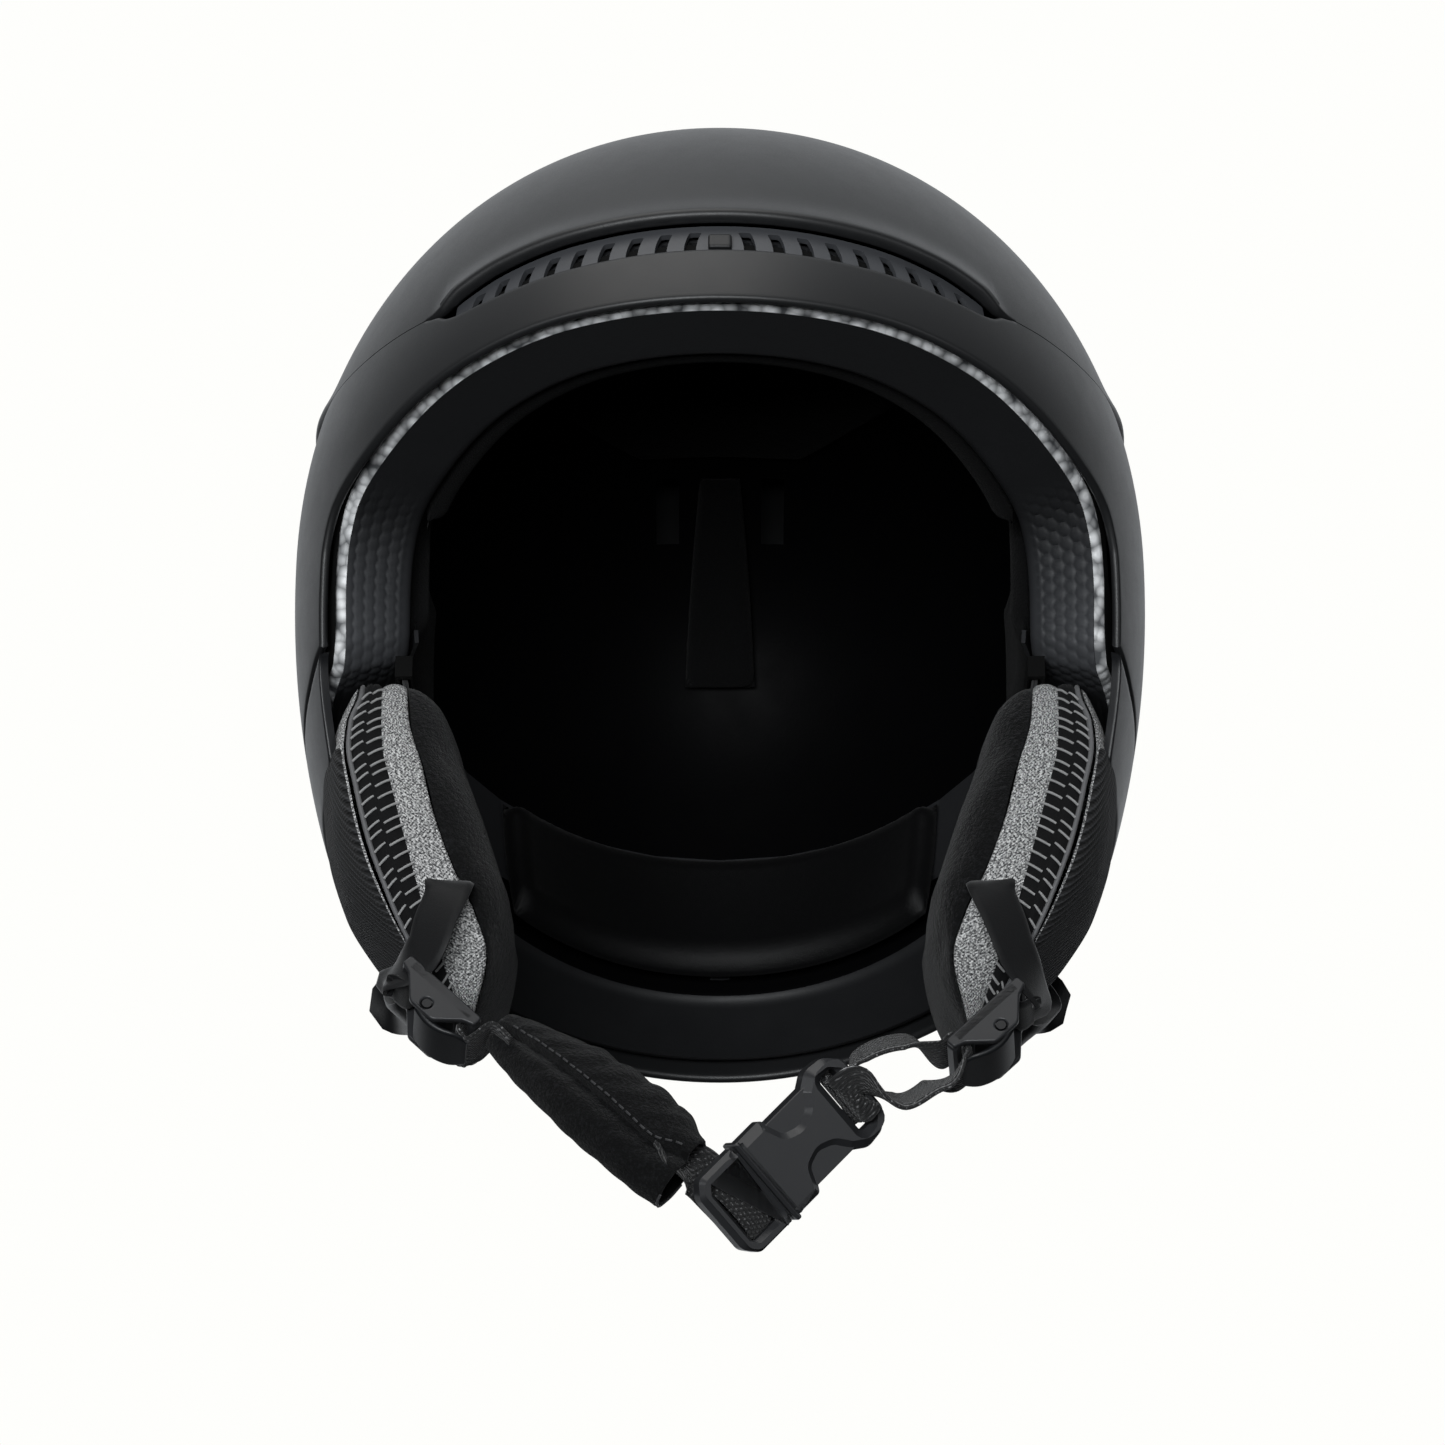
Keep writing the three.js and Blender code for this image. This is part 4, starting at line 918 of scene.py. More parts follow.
SLOTS = [sign * (3 + 3.25 * k) for k in range(9) for sign in (1, -1)]
SLOT_HALF = 1.5


def egg_frame(azimuth, elevation, depth):
    """Origin and directions of a local frame on the egg: right, outwards and up."""
    origin = on_egg(*(np.array(float(v)) for v in (azimuth, elevation, depth)))
    out = direction(azimuth, elevation)
    right = np.array([math.cos(math.radians(azimuth)), math.sin(math.radians(azimuth)), 0.0])
    up = np.cross(right, out)
    return origin, right, out, up if up[2] > 0 else -up


def slot_cutters(low, high, deep, extra):
    """The row of leaning, bowed slots of the vent, as one cutter."""
    part = Part()
    for a in SLOTS:
        bottom, top = float(low(a)), float(high(a))
        tall = (top - bottom) * 2.04
        origin, right, out, up = egg_frame(a, (bottom + top) / 2, 0)
        t = np.linspace(-1, 1, 9)
        bow = -math.copysign(1, a) * (0.17 * t * tall / 2 - 0.45 * (1 - t * t))
        left = np.stack([bow - SLOT_HALF, t * tall / 2], 1)
        mate = np.stack([bow + SLOT_HALF, t * tall / 2], 1)
        loop = rounded_loop([*left, *mate[::-1]], [0.7] + [0] * 7 + [0.7, 0.7] + [0] * 7 + [0.7], 4)
        rings = [origin + loop[:, :1] * right + loop[:, 1:] * up - out * d for d in (deep, -extra)]
        part.grid(np.array(rings), wrap_v=True)
        part.fan(rings[0])
        part.fan(rings[1], flip=True)
    return welded(part.make("slot_cutters", []))


def curved_strip(part, half, low, high, outer, thickness):
    """A closed curved strip across the brow, between two edge curves."""
    a = np.arange(-half, half + 0.01, 0.5)
    t = np.linspace(0, 1, 9)
    aa, tt = np.meshgrid(a, t, indexing="ij")
    el = low(aa) + (high(aa) - low(aa)) * tt
    front = on_egg(aa, el, np.full(aa.shape, outer))
    back = on_egg(aa, el, np.full(aa.shape, outer + thickness))
    loop = np.concatenate([front, back[:, ::-1]], axis=1)
    part.grid(loop, wrap_v=True)
    part.fan(loop[0])
    part.fan(loop[-1], flip=True)


def soft_box(part, place, size, radius):
    """A box with rounded edges and corners: place maps local points [n, 3] to the helmet."""
    n = 14
    line = np.linspace(-1, 1, n)
    a, b = np.meshgrid(line, line, indexing="ij")
    half = np.array(size) / 2
    for axis in range(3):
        for sign in (1, -1):
            p = np.zeros((n, n, 3))
            other = [k for k in range(3) if k != axis]
            p[..., axis] = sign
            p[..., other[0]] = a
            p[..., other[1]] = b
            q = np.sign(p) * np.abs(p) ** 0.75 * half
            core = np.clip(q, -(half - radius), half - radius)
            q = core + unit(q - core) * radius
            part.grid(place(q.reshape(-1, 3)).reshape(n, n, 3), flip=(sign > 0) == (axis == 1))


def egg_box_place(azimuth, elevation, depth):
    """Maps points of a local frame on the egg: x across, y outwards along the radius, z up."""
    origin, right, out, up = egg_frame(azimuth, elevation, depth)
    return lambda q: origin + q[:, :1] * right + q[:, 1:2] * out + q[:, 2:] * up


def build_vent():
    sill, rail = (lambda a: vent_sill(a) - 1.2), (lambda a: dome_edge(a) + 0.75)
    strip = Part()
    curved_strip(strip, 32.5, sill, rail, 2.7, 1.6)
    grille = welded(strip.make("vent_grille", [FINISH["insert"]]))
    difference(grille, slot_cutters(lambda a: vent_sill(a) + 0.1, lambda a: dome_edge(a) - 0.1, 9, 2))
    smooth_by_angle(grille, 35)
    settle(grille, "helmet", "insert", "vent_grille")
    strip = Part()
    curved_strip(strip, 31, lambda a: vent_sill(a) - 0.9, lambda a: dome_edge(a) + 0.4, 6.2, 1.3)
    plate = welded(strip.make("vent_shutter_plate", [FINISH["plastic"]]))
    difference(plate, slot_cutters(lambda a: vent_sill(a) + 0.1, dome_edge, 9, 2))
    smooth_by_angle(plate, 35)
    settle(plate, "vent", "plastic", "vent_shutter")
    button = Part()
    level = (float(vent_sill(0)) + float(dome_edge(0))) / 2 - 0.25
    soft_box(button, egg_box_place(0, level, 2.15), (5.8, 1.9, 4.6), 0.7)
    soft_box(button, egg_box_place(0, level, 4.5), (2.0, 4.1, 1.6), 0.3)
    obj = button.make("vent_button", [FINISH["button"]], sharp=60)
    settle(obj, "vent", "plastic")


build_dome()
build_band()
build_trims()
build_foam()
build_vent()

# ---------------------------------------------------------------- comfort pads

def cushion(name, place, long, tall, base, top, rim, counts, material):
    """A sewn pad on the inside of the helmet: flat at the back, crowned in front, and thin at its seam."""
    u = clustered(counts[0], long, rim)
    v = clustered(counts[1], tall, rim)
    uu, vv = np.meshgrid(u, v, indexing="ij")
    az, el = place(uu, vv)
    short_u, short_v = (np.maximum(rim - np.minimum(w, 1 - w) * size, 0) for w, size in ((uu, long), (vv, tall)))
    t = np.clip(np.hypot(short_u, short_v) / rim, 0, 1)
    crown = np.sqrt(1 - t * t)
    front = in_cavity(az, el, base + 0.9 + (top - base - 0.9) * crown)
    back = in_cavity(az, el, base + 0.9 * (1 - crown))
    part = Part()
    uv = np.stack([uu * long, vv * tall], -1)
    facing = np.cross(front[2, 1] - front[1, 1], front[1, 2] - front[1, 1]) @ (-front[1, 1])
    flip = facing < 0
    part.grid(front, uv=uv, flip=flip)
    part.grid(back, uv=uv, flip=not flip)
    obj = part.make(name, [material], merge=0.002)
    return obj


def build_pads():
    def brow(u, v):
        a = -56 + 112 * u
        low = foam_rim(a) + 1.2
        return a, low + (19 - np.abs(a) / 12 - low) * v
    # Painted shade: the inner pads take the darker inside copy of the fleece.
    inside = FINISH["inside"]
    pad = cushion("pad_brow", brow, 200, 26, 1.2, 7.5, 4.0, (110, 22), inside)
    settle(pad, "helmet", "fleece", "brow_pad")
    for name, side in (("left", 1), ("right", -1)):
        temple = lambda u, v: (side * (64 + 46 * u), -19 + 28 * v)
        pad = cushion(f"pad_side_{name}", temple, 70, 44, 1.2, 7.5, 5.0, (40, 26), inside)
        settle(pad, "helmet", "fleece", f"side_pad_{name}")
    pad = cushion("pad_rear", lambda u, v: (174.5 + 11 * u, 16 + 35 * v), 18, 60, 2.1, 7.0, 4.0, (16, 40), inside)
    settle(pad, "helmet", "fleece", "rear_pad")
    nape = lambda u, v: (141 + 78 * u, -33.5 + 20 * v)
    pad = cushion("pad_nape", nape, 150, 40, 4.0, 11.0, 6.0, (80, 26), FINISH["satin"])
    settle(pad, "helmet", "fleece", "nape_pad")


def build_crown_pad():
    ring = np.arange(0, 360, 1.5)
    rows = []
    base, top = 1.2, 7.0
    low = 54 + 2.2 * np.abs(np.sin(np.radians(ring) * 3.5))
    for t in np.linspace(1, 0, 8)[:-1]:
        rows.append(in_cavity(ring, low + (89.9 - low) * t, np.full(len(ring), base)))
    for turn in np.linspace(math.pi, 0, 10):
        depth = base + (top - base) * (1 - math.cos(math.pi - turn)) / 2
        rows.append(in_cavity(ring, low + 1.6 * (1 - math.sin(turn)), np.full(len(ring), depth)))
    for t in np.linspace(0, 1, 24)[1:]:
        rows.append(in_cavity(ring, low + 1.6 + (88.3 - low) * t, np.full(len(ring), top)))
    points = np.stack(rows, 1)
    part = Part()
    part.grid(points, wrap_u=True, flip=True)
    part.fan(points[:, 0], flip=True)
    part.fan(points[:, -1])
    # Painted shade: the crown pad takes the darker inside copy of the fleece.
    obj = part.make("pad_crown", [FINISH["inside"]], merge=0.001)
    settle(obj, "helmet", "fleece", "crown_pad")


build_pads()
build_crown_pad()

# ---------------------------------------------------------------- lofts, sheets and straps

def section(width, thickness, radius, steps=3):
    """A rounded rectangle, as a loop of (across, through) places."""
    w, t = width / 2, thickness / 2
    return rounded_loop([(w, t), (-w, t), (-w, -t), (w, -t)], radius, steps)


def loft(part, rings, uv=None):
    """A closed solid through rings of points [n, m, 3]."""
    rings = np.asarray(rings)
    part.grid(rings, wrap_v=True, uv=uv)
    part.fan(rings[0])
    part.fan(rings[-1], flip=True)


def smooth_path(keys, count):
    """Places and width directions on a smooth curve through (place, width direction) keys."""
    p = np.array([k[0] for k in keys], float)
    w = np.array([k[1] for k in keys], float)
    p = np.vstack([2 * p[0] - p[1], p, 2 * p[-1] - p[-2]])
    places, wide = [], []
    for value in np.linspace(0, len(keys) - 1, count):
        i = min(int(value), len(keys) - 2)
        t = value - i
        x0, x1, x2, x3 = p[i:i + 4]
        d0, d1, d2 = (max(np.linalg.norm(b - a) ** 0.5, 1e-4) for a, b in ((x0, x1), (x1, x2), (x2, x3)))
        start = ((x1 - x0) / d0 - (x2 - x0) / (d0 + d1) + (x2 - x1) / d1) * d1
        end = ((x2 - x1) / d1 - (x3 - x1) / (d1 + d2) + (x3 - x2) / d2) * d1
        square, cube = 3 * x2 - 3 * x1 - 2 * start - end, 2 * x1 - 2 * x2 + start + end
        places.append(x1 + start * t + square * t ** 2 + cube * t ** 3)
        s = t * t * (3 - 2 * t)
        wide.append(w[i] * (1 - s) + w[i + 1] * s)
    return np.array(places), unit(wide)


def strap(part, keys, count, width=15.0, thickness=1.5, keep=slice(None)):
    """Flat webbing along keys; uv is millimetres along and across it."""
    places, wide = smooth_path(keys, count)
    along = unit(np.gradient(places, axis=0))
    wide = unit(wide - along * np.sum(wide * along, axis=1, keepdims=True))
    normal = np.cross(along, wide)
    width = np.broadcast_to(np.asarray(width, float), (count,))
    line = np.linspace(1, -1, 13)
    edge = np.sqrt(np.clip(1 - ((np.abs(line) - 0.9) / 0.1).clip(0, 1) ** 2, 0.04, 1))
    top = np.stack([line, edge], 1)
    loop = np.vstack([top, (top * [1, -1])[::-1]])
    across = loop[:, 0][None] * width[:, None] / 2
    lift = loop[:, 1][None] * thickness / 2
    rings = places[:, None] + across[..., None] * wide[:, None] + lift[..., None] * normal[:, None]
    length = np.concatenate([[0], np.cumsum(np.linalg.norm(np.diff(places, axis=0), axis=1))])
    around = np.append(loop[:, 0], loop[0, 0])[None] * width[:, None] / 2 + 10
    uv = np.stack([np.broadcast_to(length[:, None], around.shape), around], -1)
    loft(part, rings[keep], uv[keep])


def placement(origin, along, normal):
    """A local frame as a matrix in mm: x runs along, and z is the normal."""
    x = unit(np.array(along, float))
    z = np.array(normal, float)
    z = unit(z - x * np.dot(z, x))
    y = np.cross(z, x)
    return Matrix([*([x[k], y[k], z[k], origin[k]] for k in range(3)), [0, 0, 0, 1]])


def at_frame(matrix, u, v, n):
    return np.array(matrix @ Vector((u, v, n)))


def finished(obj, bevel=0.0, segments=3, angle=35):
    """Applies an edge round and even shading to a hard piece."""
    if bevel:
        modifier = obj.modifiers.new("edges", "BEVEL")
        modifier.width = bevel * MM
        modifier.segments = segments
        modifier.limit_method = "ANGLE"
        modifier.angle_limit = math.radians(angle)
    shade = obj.modifiers.new("shade", "WEIGHTED_NORMAL")
    shade.keep_sharp = True
    bpy.context.view_layer.update()
    obj.data.polygons.foreach_set("use_smooth", np.ones(len(obj.data.polygons), bool))
    graph = bpy.context.evaluated_depsgraph_get()
    mesh = bpy.data.meshes.new_from_object(obj.evaluated_get(graph))
    old = obj.data
    obj.modifiers.clear()
    obj.data = mesh
    bpy.data.meshes.remove(old)
    return obj


def moulded_plate(name, loops, thickness, chamfer, matrix, material, bevel):
    """A flat moulded piece from its outline and holes, with chamfered or rounded rims."""
    curve = bpy.data.curves.new(name, "CURVE")
    curve.dimensions = "2D"
    curve.fill_mode = "BOTH"
    curve.extrude = (thickness / 2 - chamfer) * MM
    curve.bevel_depth = chamfer * MM
    curve.bevel_resolution = 0
    curve.offset = -chamfer * MM
    for loop in loops:
        spline = curve.splines.new("POLY")
        spline.points.add(len(loop) - 1)
        for point, (x, y) in zip(spline.points, loop):
            point.co = (x * MM, y * MM, 0, 1)
        spline.use_cyclic_u = True
    source = bpy.data.objects.new(name, curve)
    bpy.context.scene.collection.objects.link(source)
    bpy.context.view_layer.update()
    mesh = bpy.data.meshes.new_from_object(source)
    bpy.data.objects.remove(source)
    work = bmesh.new()
    work.from_mesh(mesh)
    bmesh.ops.remove_doubles(work, verts=work.verts, dist=2e-6)
    bmesh.ops.dissolve_limit(work, angle_limit=math.radians(2), verts=work.verts, edges=work.edges)
    bmesh.ops.recalc_face_normals(work, faces=work.faces)
    work.to_mesh(mesh)
    work.free()
    scaled = matrix.copy()
    scaled.translation *= MM
    mesh.transform(scaled)
    mesh.materials.clear()
    mesh.materials.append(material)
    mesh.polygons.foreach_set("material_index", np.zeros(len(mesh.polygons), np.int32))
    obj = bpy.data.objects.new(name, mesh)
    bpy.context.scene.collection.objects.link(obj)
    return finished(obj, bevel) if bevel is not None else obj


def joined_part(name, objects):
    """Several meshes as one object."""
    target = bpy.data.meshes.new(name)
    work = bmesh.new()
    materials = []
    for obj in objects:
        count = len(work.faces)
        work.from_mesh(obj.data)
        work.faces.ensure_lookup_table()
        own = obj.data.materials[0]
        if own not in materials:
            materials.append(own)
        for face in work.faces[count:]:
            face.material_index = materials.index(own)
    work.to_mesh(target)
    work.free()
    for material in materials:
        target.materials.append(material)
    for obj in objects:
        bpy.data.objects.remove(obj)
    result = bpy.data.objects.new(name, target)
    bpy.context.scene.collection.objects.link(result)
    return result


SIDES = (("left", 1), ("right", -1))

# ---------------------------------------------------------------- ear pads

ear_outer = through([
    (43, 96), (57, 98.5), (70, 100), (81, 98.8), (98, 94), (111, 86.3), (120, 79), (128, 73), (138, 66)])
ear_wall = through([
    (43, 79), (51, 78.5), (60, 77.6), (72.5, 74.1), (86, 70.8), (100, 65.6), (111, 60.2), (120, 57.3), (138, 62)])
ear_inner = through([
    (43, 71), (53, 67.4), (67, 64.6), (81, 59.8), (95, 54.4), (102, 52.2), (110, 52), (118, 53.5), (126, 56),
    (138, 61.5)])
ear_gusset = through([
    (43, 85.4), (51, 85.3), (66, 84.6), (79, 81.7), (93, 78), (105.5, 74.4), (111, 72.6), (120, 69), (138, 63.4)])
ear_piping = through([
    (43, 89.6), (51, 89.8), (60, 92), (66, 92.3), (79, 89.9), (93, 86.4), (105.5, 81.7), (111, 79.3), (120, 74.5),
    (138, 64.8)])
ear_front = through([(43, -40), (60, -44), (82, -45), (105, -41), (120, -34), (132, -22), (138, -10)])
ear_rear = through([(43, 38), (60, 39), (82, 36), (105, 27), (120, 17), (132, 5), (138, -8)])
EAR_MIDDLE = np.array([-3.0, -88.0])


def evened(loop, count, blur):
    """A closed outline resampled evenly, its corners softened over about blur mm."""
    closed = np.vstack([loop, loop[:1]])
    run = np.concatenate([[0], np.cumsum(np.linalg.norm(np.diff(closed, axis=0), axis=1))])
    where = np.linspace(0, run[-1], count, endpoint=False)
    even = np.stack([np.interp(where, run, closed[:, k]) for k in range(2)], 1)
    reach = int(3 * blur / (run[-1] / count))
    weights = np.exp(-0.5 * (np.arange(-reach, reach + 1) * run[-1] / count / blur) ** 2)
    weights /= weights.sum()
    out = sum(w * np.roll(even, k, axis=0) for w, k in zip(weights, range(-reach, reach + 1)))
    return out, run[-1]


def ear_outline(top, tip, inset, count=360):
    """The pad seen from the side, as (y, z) places: down the front, round the tip and up the rear."""
    z = np.linspace(top, tip, 60)
    front = np.stack([ear_front(z) + inset, z], 1)
    rear = np.stack([ear_rear(z) - inset, z], 1)[::-1]
    return evened(np.vstack([front, rear]), count, 2.6)


def inward(outline):
    """Unit directions into the outline, in its plane."""
    ahead = unit(np.roll(outline, -1, axis=0) - np.roll(outline, 1, axis=0))
    normal = np.stack([-ahead[:, 1], ahead[:, 0]], 1)
    return np.where(np.sum(normal * (EAR_MIDDLE - outline), axis=1, keepdims=True) > 0, normal, -normal)


def to_edge(places, outline):
    """Distance from each (y, z) place to the outline."""
    flat = places.reshape(-1, 2)
    best = np.full(len(flat), 1e9)
    for a, b in zip(outline, np.roll(outline, -1, axis=0)):
        share = np.clip((flat - a) @ (b - a) / np.dot(b - a, b - a), 0, 1)
        best = np.minimum(best, np.sum((flat - a - share[:, None] * (b - a)) ** 2, axis=1))
    return np.sqrt(best).reshape(places.shape[:-1])


def domed(distance, reach):
    t = 1 - np.clip(distance / reach, 0, 1)
    return np.sqrt(1 - t * t)


def ripple(y, z, scale, seed):
    """A small, smooth, repeatable unevenness."""
    a = np.sin(y / scale + 1.3 * seed + 0.8 * np.sin(z / scale * 0.7 + seed))
    b = np.sin(z / scale * 1.15 - 2.1 * seed + 0.9 * np.sin(y / scale * 0.9 - seed))
    return a * b


def ear_outer_x(places, outline, lift=0.0):
    """How far out the pad's outer face stands at (y, z) places."""
    y, z = places[..., 0], places[..., 1]
    d = to_edge(places, outline)
    base = ear_piping(z) + 0.7
    rear = 0.24 * np.clip(y + 8, 0, None) + 0.003 * np.clip(y + 8, 0, None) ** 2
    crown = np.maximum(ear_outer(z) - rear, base + 1.5)
    return base + (crown - base) * domed(d, 30) + lift + 0.25 * ripple(y, z, 7, 2) * np.clip(d / 8, 0, 1)


def build_ear_plush(name, side):
    outline, length = ear_outline(-47, -136.5, 0.8)
    part = Part()
    share = 1 - np.concatenate([[0, 0.004, 0.012, 0.03, 0.055], np.linspace(0.09, 0.98, 34)])
    ring = EAR_MIDDLE + (outline[:, None] - EAR_MIDDLE) * share[None, :, None]
    y, z = ring[..., 0], ring[..., 1]
    d = to_edge(ring, outline)
    run = np.linspace(0, length, len(outline), endpoint=False)[:, None]
    pucker = 0.45 * np.sin(run / 4.3) * np.exp(-((d - 3.5) / 3.0) ** 2)
    x = ear_wall(z) - (ear_wall(z) - ear_inner(z)) * domed(d, 17) - pucker
    x = x + 0.5 * ripple(y, z, 9, 1) * np.clip(d / 9, 0, 1)
    front = np.stack([side * x, y, z], -1)
    back = np.stack([side * (ear_wall(z) + 0.3), y, z], -1)
    part.grid(front, wrap_u=True, flip=side < 0)
    part.fan(front[:, -1], flip=side > 0)
    part.grid(back[:, ::3], wrap_u=True, flip=side > 0)
    part.fan(back[:, ::3][:, -1], flip=side < 0)
    obj = part.make(f"ear_plush_{name}_cushion", [FINISH["plush"]], merge=0.0005)
    settle(obj, "helmet", "fleece", f"ear_plush_{name}")


def bar_over(part, a, b, lift, radius, slot):
    """One stitch: thread from a to b, bowed outwards by lift in the middle."""
    t = np.linspace(0, 1, 6)
    path = a + (b - a) * t[:, None] + lift * np.sin(math.pi * t)[:, None]
    part.tube(path, radius, 6, slot=slot)


def build_ear_pad(name, side):
    outline, length = ear_outline(-47, -137, 0.0)
    normal = inward(outline)
    y, z = outline[:, 0], outline[:, 1]
    wall, gusset, piping = ear_wall(z), ear_gusset(z), ear_piping(z)
    run = np.linspace(0, length, len(outline), endpoint=False)

    def row(x, depth):
        p = outline + normal * np.broadcast_to(np.asarray(depth, float), (len(outline),))[:, None]
        return np.stack([side * (x + 0 * y), p[:, 0], p[:, 1]], 1)

    part = Part()
    rows, widths = [row(wall + 0.6, 9.0), row(wall + 0.6, 1.4)], [-9.0, -1.4]
    for t in np.linspace(0, 1, 12):
        bulge = 0.35 - 1.0 * math.sin(math.pi * t) ** 0.7 + 0.12 * np.sin(run / 3.7) * math.sin(math.pi * t)
        rows.append(row(wall + 0.4 + (gusset - wall - 0.4) * t, bulge))
        widths.append(8 * t)
    uv = lambda w: np.stack(np.meshgrid(np.append(run, length), w, indexing="ij"), -1)
    part.grid(np.stack(rows, 1), wrap_u=True, uv=uv(widths), slot=0, flip=side < 0)
    rows, widths = [], []
    for t in np.linspace(0, 1, 13):
        ridge = 0.30 - 1.05 * (1 - abs(2 * t - 1) ** 3.2) + 0.35 * math.exp(-((t - 0.56) / 0.05) ** 2)
        rows.append(row(gusset + (piping - gusset) * t, ridge))
        widths.append(7 * t)
    part.grid(np.stack(rows, 1), wrap_u=True, uv=uv(widths), slot=1, flip=side < 0)
    rows, widths = [], []
    for turn in np.linspace(0, math.pi * 1.15, 9):
        rows.append(row(piping + 0.65 - 0.65 * math.cos(turn), 0.35 - 0.85 * math.sin(turn)))
        widths.append(turn)
    part.grid(np.stack(rows, 1), wrap_u=True, uv=uv(widths), slot=2, flip=side < 0)
    share = 1 - np.concatenate([[0, 0.012, 0.03, 0.06, 0.1, 0.15], np.linspace(0.22, 0.97, 14)])
    start = outline + normal * 0.5
    ring = EAR_MIDDLE + (start[:, None] - EAR_MIDDLE) * share[None, :, None]
    outer = np.stack([side * ear_outer_x(ring, outline), ring[..., 0], ring[..., 1]], -1)
    flat = np.stack([ring[..., 0], ring[..., 1]], -1)
    closed = np.concatenate([flat, flat[:1]], 0)
    part.grid(outer, wrap_u=True, uv=closed, slot=0, flip=side < 0)
    part.fan(outer[:, -1], 0, flip=side > 0)
    # Overlocking: two columns of thread bars, slightly slanted, over the black tape.
    pitch = 3.1
    for k in range(int(length / pitch)):
        place = k * pitch / length * len(outline)
        i = int(place) % len(outline)
        if z[i] > -49.5:
            continue
        out = -np.array([0, *normal[i]])
        for a, b, shift, lift in ((-0.10, 0.50, 0, 0.5), (0.62, 1.02, 2, 0.35)):
            p = (int(place) + shift) % len(outline)
            q = (p + 3) % len(outline)
            start = row(gusset + (piping - gusset) * a, -0.42 if a > 0 else -0.1)[p]
            end = row(gusset + (piping - gusset) * b, -0.62 if b < 0.9 else -0.25)[q]
            bar_over(part, start, end, out * lift, 0.33, 3)
    finishes = [FINISH["melange"], FINISH["tape"], FINISH["piping"], FINISH["thread"]]
    obj = part.make(f"ear_gusset_{name}", finishes, merge=0.0005)
    settle(obj, "helmet", "melange", f"ear_pad_{name}")


def build_ear_panel(name, side):
    """The ribbed skin over the outside of the pad, below its plain top."""
    pad_outline, _ = ear_outline(-47, -137, 0.0)
    z = np.linspace(-66.5, -131, 60)
    front = np.stack([ear_front(z) + 1.0, z], 1)
    rear = np.stack([ear_rear(z) - 1.0, z], 1)[::-1]
    outline, _ = evened(np.vstack([front, rear]), 360, 1.6)
    drop = np.clip((outline[:, 0] + 42) / 30, 0, 1) * 4 * (outline[:, 1] > -70)
    outline = outline - np.stack([np.zeros(len(outline)), drop], 1)
    share = 1 - np.concatenate([[0, 0.006, 0.015, 0.03], np.linspace(0.055, 0.98, 52)])
    ring = EAR_MIDDLE + (outline[:, None] - EAR_MIDDLE) * share[None, :, None]
    d = to_edge(ring, outline)
    lift = 0.05 + 0.95 * domed(d, 1.6)
    front = np.stack([side * ear_outer_x(ring, pad_outline, lift), ring[..., 0], ring[..., 1]], -1)
    back = np.stack([side * (ear_outer_x(ring, pad_outline) - 0.6), ring[..., 0], ring[..., 1]], -1)
    across = np.stack([(2 * ring[..., 0] - ring[..., 1]) / 2.236, (ring[..., 0] + 2 * ring[..., 1]) / 2.236], -1)
    across = np.concatenate([across, across[:1]], 0)
    part = Part()
    part.grid(front, wrap_u=True, uv=across, flip=side < 0)
    part.fan(front[:, -1], flip=side > 0, uv=across[:-1, -1])
    part.grid(back[:, ::4], wrap_u=True, flip=side > 0)
    part.fan(back[:, ::4][:, -1], flip=side < 0)
    part.grid(np.stack([back[:, 0], front[:, 0]], 1), wrap_u=True, flip=side < 0)
    obj = part.make(f"ear_panel_{name}_skin", [FINISH["mesh"]], merge=0.0005)
    settle(obj, "helmet", "mesh", f"ear_panel_{name}")


for name, side in SIDES:
    build_ear_plush(name, side)
    build_ear_pad(name, side)
    build_ear_panel(name, side)

# ---------------------------------------------------------------- straps and dividers

DIVIDER_FRAMES = {
    "left": placement((65.5, -32, -139.8), (0.72, 0, 0.69), (0.69, -0.12, -0.72)),
    "right": placement((-68.6, -32, -134), (-0.72, 0, 0.69), (-0.69, -0.12, -0.72)),
}
ACROSS = {name: -side * np.array(DIVIDER_FRAMES[name].to_3x3().col[1]) for name, side in SIDES}


def strap_keys(name, side):
    """The two webbing runs from the shell to a divider."""
    flip = lambda p: (p[0] * side, p[1], p[2])
    end = lambda u, n, back=0: at_frame(DIVIDER_FRAMES[name], u, -side * back, n)
    wide = ACROSS[name]
    front = [
        (flip((80, -33, -44)), flip((0, 1, 0))), (flip((76, -29, -72)), flip((0.2, 1, 0.1))),
        (flip((69.5, -32, -96)), flip((0.80, 0.45, 0.38))), (flip((66.8, -42.6, -105.5)), flip((0.86, 0.30, 0.38))),
        (flip((69.6, -43.6, -114)), flip((0.84, 0.36, 0.37))),
        (flip((72.7, -41.5, -122.5)), flip((0.80, 0.45, 0.36))),
        (end(14.5, 4.6), flip((0.35, 0.9, 0.2))),
        (end(12, 3.7), wide), (end(8.9, 3), wide), (end(8.3, -2.6), wide)]
    rear = [
        (flip((84, 47, -44)), flip((0, 1, 0))), (flip((86.5, 47, -76)), flip((0, 0.95, 0.2))),
        (flip((85, 38, -98)), flip((0, 0.8, 0.5))), (flip((82, 14, -113)), flip((0.2, 0.75, 0.63))),
        (end(8, 0.5, 18), flip((0.6, 0.35, 0.7))), (end(4.5, 0, 10.5), flip((0.72, 0, 0.69)))]
    return {"front": front, "rear": rear}


def build_straps():
    for name, side in SIDES:
        for run, keys in strap_keys(name, side).items():
            part = Part()
            narrowed = np.interp(np.arange(90), [0, 30, 65, 80, 89], [15, 12, 12, 14.5, 15])
            strap(part, keys, 90, 15.0 if run == "rear" else narrowed)
            obj = part.make(f"strap_{run}_{name}_webbing", [FINISH["ribbon"]], sharp=50)
            settle(obj, "helmet", "webbing", f"strap_{run}_{name}")


